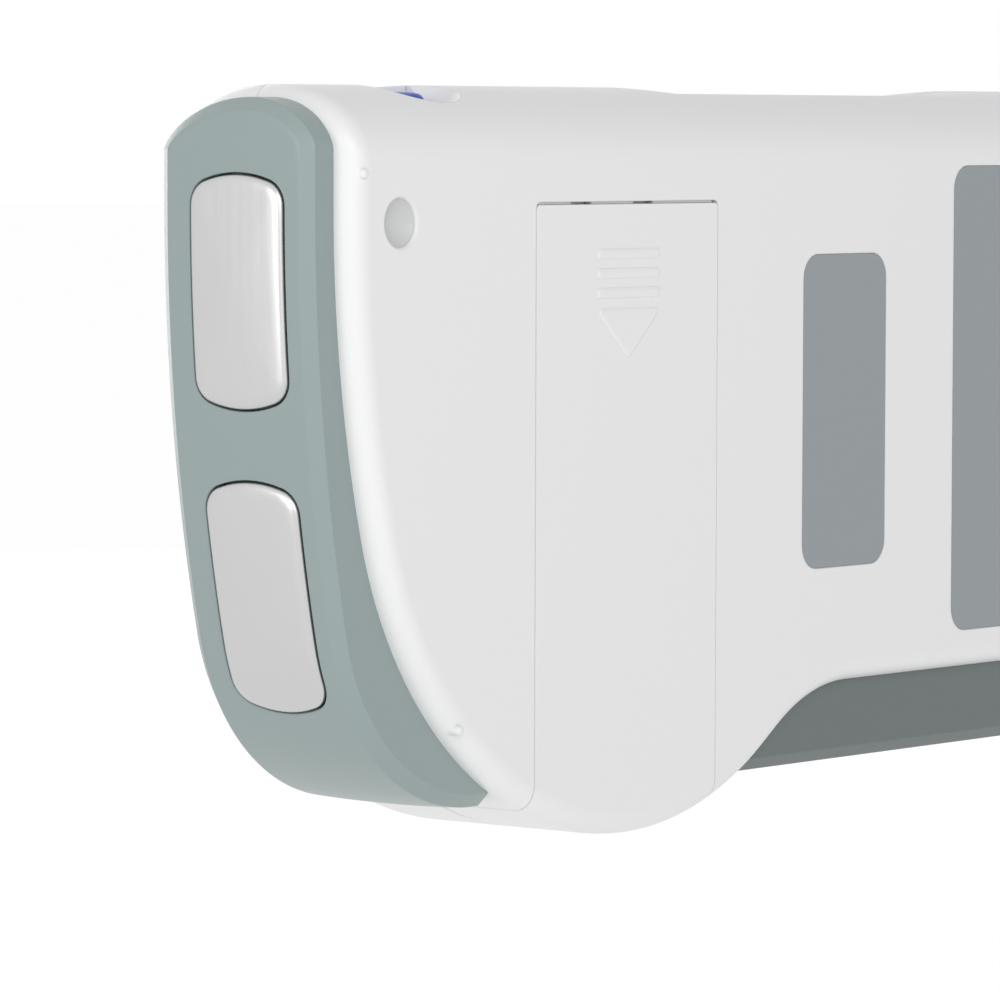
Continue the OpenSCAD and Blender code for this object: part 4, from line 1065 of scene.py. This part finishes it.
def build_display():
    place = facing_front(*WINDOW_PLACE)
    width, height = WINDOW_W - 2 * WINDOW_GAP, WINDOW_H - 2 * WINDOW_GAP
    plan = round_rect(width, height, WINDOW_R - WINDOW_GAP)
    obj = stack("window", plan, WINDOW_EDGE, place)
    piece(obj, "window_glass", "display_window", GLASS)
    loops = [[place(a, b, h) for a, b in plan(-e)] for e, h in BORDER_LOOP]
    border = loft("border", loops + loops[:1], False, False)
    piece(border, "window_border", "display_window", BORDER)
    plan = round_rect(WINDOW_W - 2 * BORDER_W, WINDOW_H - 2 * BORDER_W, PANEL_R, 4)
    obj = stack("panel", plan, PANEL_EDGE, place)
    piece(obj, "lcd_glass", "display_panel", PANEL)


def build_back_details():
    for name, node, (x, z, w, h) in (
        ("narrow_label", "serial_label", SERIAL_LABEL), ("wide_label", "rating_label", RATING_LABEL),
    ):
        obj = stack(name, round_rect(w, h, LABEL_R), LABEL_EDGE, facing_back(x, z))
        piece(obj, name, node, LABEL)
    rim = PLUG_EDGE[-1][1]
    shares = [1 - i / 11 for i in range(1, 11)]
    middle = [(rim - PLUG_DISH * (1 - s * s), s) for s in shares]
    plugs = [stack("plug", round_disc(PLUG_R), PLUG_EDGE, facing_back(x, z), middle)
             for x, z in PLUG_PLACES]
    obj = join(plugs[0], plugs[1:])
    # The plugs take the grey with painted shade
    piece(obj, "hole_plugs", "screw_plugs", PLUG_PAINTED_SHADE)


build_back_cover()
build_front_housing()
build_door()
build_bumper()
electrode(UPPER_ELECTRODE_Z, "upper_plate", "upper_electrode")
electrode(LOWER_ELECTRODE_Z, "lower_plate", "lower_electrode")
electrode(FAR_ELECTRODE_Z, "far_plate", "far_electrode")
build_button()
build_keys()
build_display()
build_back_details()

# ---- Pieces kept as they are in the CAD frame ------------------------------------------------

KEPT = {
    "upper_contact": (BRASS, "contact_brass"),
    "lower_contact": (BRASS, "contact_brass"),
    "far_contact": (BRASS, "contact_brass"),
    "measure_switch": (BLACK, "switch_black"),
    "key_mat": (SILICONE, "silicone"),
    "key_switches": (BLACK, "switch_black"),
    "display_holder": (BLACK, "holder_black"),
    "display_ribbon": (AMBER, "ribbon_amber"),
    "main_board": (BOARD, "board_green"),
    "board_chips": (BLACK, "chip_black"),
    "analog_shield": (TIN, "tin"),
    "data_socket": (TIN, "tin"),
    "buzzer": (BLACK, "chip_black"),
    "battery_one": (CELL, "cell_wrap"),
    "battery_two": (CELL, "cell_wrap"),
    "battery_springs": (TIN, "spring_wire"),
    "battery_plates": (TIN, "spring_wire"),
    "housing_screws": (SCREW, "screw_steel"),
    "board_screws": (SCREW, "screw_steel"),
}
for node, (mat, slot) in KEPT.items():
    obj = NODES[node]
    obj.data.materials.clear()
    obj.data.materials.append(mat)

# ---- Stage -----------------------------------------------------------------------------------

# The floor, in metres, with the share of its glow for all rays and what is added for seen ones
FLOOR_HALF = 6.0
FLOOR_COLOR = (0.92, 0.92, 0.92, 1)
FLOOR_GLOW = 1.08
GLOW_SHARE = 0.5
GLOW_SHARE_SEEN = 0.35
WORLD_LIGHT = 0.5
# Soft lamps: place, point they aim at and side in metres, power in watts
LAMPS = {
    "key_light": ((0.5, 0.55, 0.33), (0, 0, 0.03), 0.4, 2.1),
    "end_light": ((0.98, -0.1, 0.18), (0.05, 0, 0.03), 0.5, 1.9),
    "front_light": ((-0.4, -0.9, 0.28), (0, 0, 0.03), 0.7, 3.2),
}
# The camera at the photograph's angle: lens in mm, place in metres, view and level directions
LENS = 223.2
SENSOR = 36.0
CAMERA_PLACE = (0.4184, 0.31258, 0.05725)
CAMERA_VIEW = (-0.7817, -0.6207, -0.0607)
CAMERA_LEVEL = (-0.6218, 0.7832, 0.0)
CAMERA_ROLL = 0.184


def sharp_rays(tree):
    """Output that is 1 for camera, glossy and transmission rays."""
    path = add(tree, "ShaderNodeLightPath")
    total = path.outputs["Is Camera Ray"]
    for kind in ("Is Glossy Ray", "Is Transmission Ray"):
        larger = add(tree, "ShaderNodeMath", operation="MAXIMUM")
        tree.links.new(total, larger.inputs[0])
        tree.links.new(path.outputs[kind], larger.inputs[1])
        total = larger.outputs[0]
    return total


def build_stage():
    mesh = bpy.data.meshes.new("floor")
    s = FLOOR_HALF
    z = FLOOR_Z * MM
    mesh.from_pydata([(-s, -s, z), (s, -s, z), (s, s, z), (-s, s, z)], [], [(0, 1, 2, 3)])
    floor = bpy.data.objects.new("floor", mesh)
    bpy.context.scene.collection.objects.link(floor)
    mat, tree, shader = new_material("floor_paper")
    tree.nodes.remove(shader)
    out = tree.nodes["Material Output"]
    diffuse = add(tree, "ShaderNodeBsdfDiffuse")
    diffuse.inputs["Color"].default_value = FLOOR_COLOR
    glow = add(tree, "ShaderNodeEmission", Strength=FLOOR_GLOW)
    mix = add(tree, "ShaderNodeMixShader")
    share = add(tree, "ShaderNodeMath", operation="MULTIPLY_ADD")
    share.inputs[1].default_value = GLOW_SHARE_SEEN
    share.inputs[2].default_value = GLOW_SHARE
    tree.links.new(sharp_rays(tree), share.inputs[0])
    tree.links.new(share.outputs[0], mix.inputs["Fac"])
    tree.links.new(diffuse.outputs[0], mix.inputs[1])
    tree.links.new(glow.outputs[0], mix.inputs[2])
    tree.links.new(mix.outputs[0], out.inputs["Surface"])
    mesh.materials.append(mat)


def build_world():
    world = bpy.data.worlds.new("white_room")
    bpy.context.scene.world = world
    world.use_nodes = True
    tree = world.node_tree
    tree.nodes.clear()
    out = add(tree, "ShaderNodeOutputWorld")
    seen = add(tree, "ShaderNodeBackground", Strength=1.0)
    light = add(tree, "ShaderNodeBackground", Strength=WORLD_LIGHT)
    for node in (seen, light):
        node.inputs["Color"].default_value = (1, 1, 1, 1)
    mix = add(tree, "ShaderNodeMixShader")
    tree.links.new(sharp_rays(tree), mix.inputs["Fac"])
    tree.links.new(light.outputs[0], mix.inputs[1])
    tree.links.new(seen.outputs[0], mix.inputs[2])
    tree.links.new(mix.outputs[0], out.inputs["Surface"])


def area(name, place, target, size, power):
    """Square lamp that the camera doesn't see."""
    data = bpy.data.lights.new(name, "AREA")
    data.shape = "SQUARE"
    data.size = size
    data.energy = power
    obj = bpy.data.objects.new(name, data)
    bpy.context.scene.collection.objects.link(obj)
    obj.location = place
    aim = Vector(target) - Vector(place)
    obj.rotation_euler = aim.to_track_quat("-Z", "Y").to_euler()
    obj.visible_camera = False


def build_camera():
    data = bpy.data.cameras.new("camera")
    data.lens = LENS
    data.sensor_width = SENSOR
    data.clip_start = 0.01
    data.clip_end = 50.0
    cam = bpy.data.objects.new("camera", data)
    bpy.context.scene.collection.objects.link(cam)
    forward = Vector(CAMERA_VIEW).normalized()
    flat = Vector(CAMERA_LEVEL).normalized()
    rise = flat.cross(forward).normalized()
    roll = math.radians(CAMERA_ROLL)
    right = flat * math.cos(roll) + rise * math.sin(roll)
    up = -flat * math.sin(roll) + rise * math.cos(roll)
    turn = Matrix((right, up, -forward)).transposed()
    cam.matrix_world = Matrix.Translation(CAMERA_PLACE) @ turn.to_4x4()
    bpy.context.scene.camera = cam


build_stage()
build_world()
for lamp, values in LAMPS.items():
    area(lamp, *values)
build_camera()
bpy.context.scene.view_settings.view_transform = "Standard"
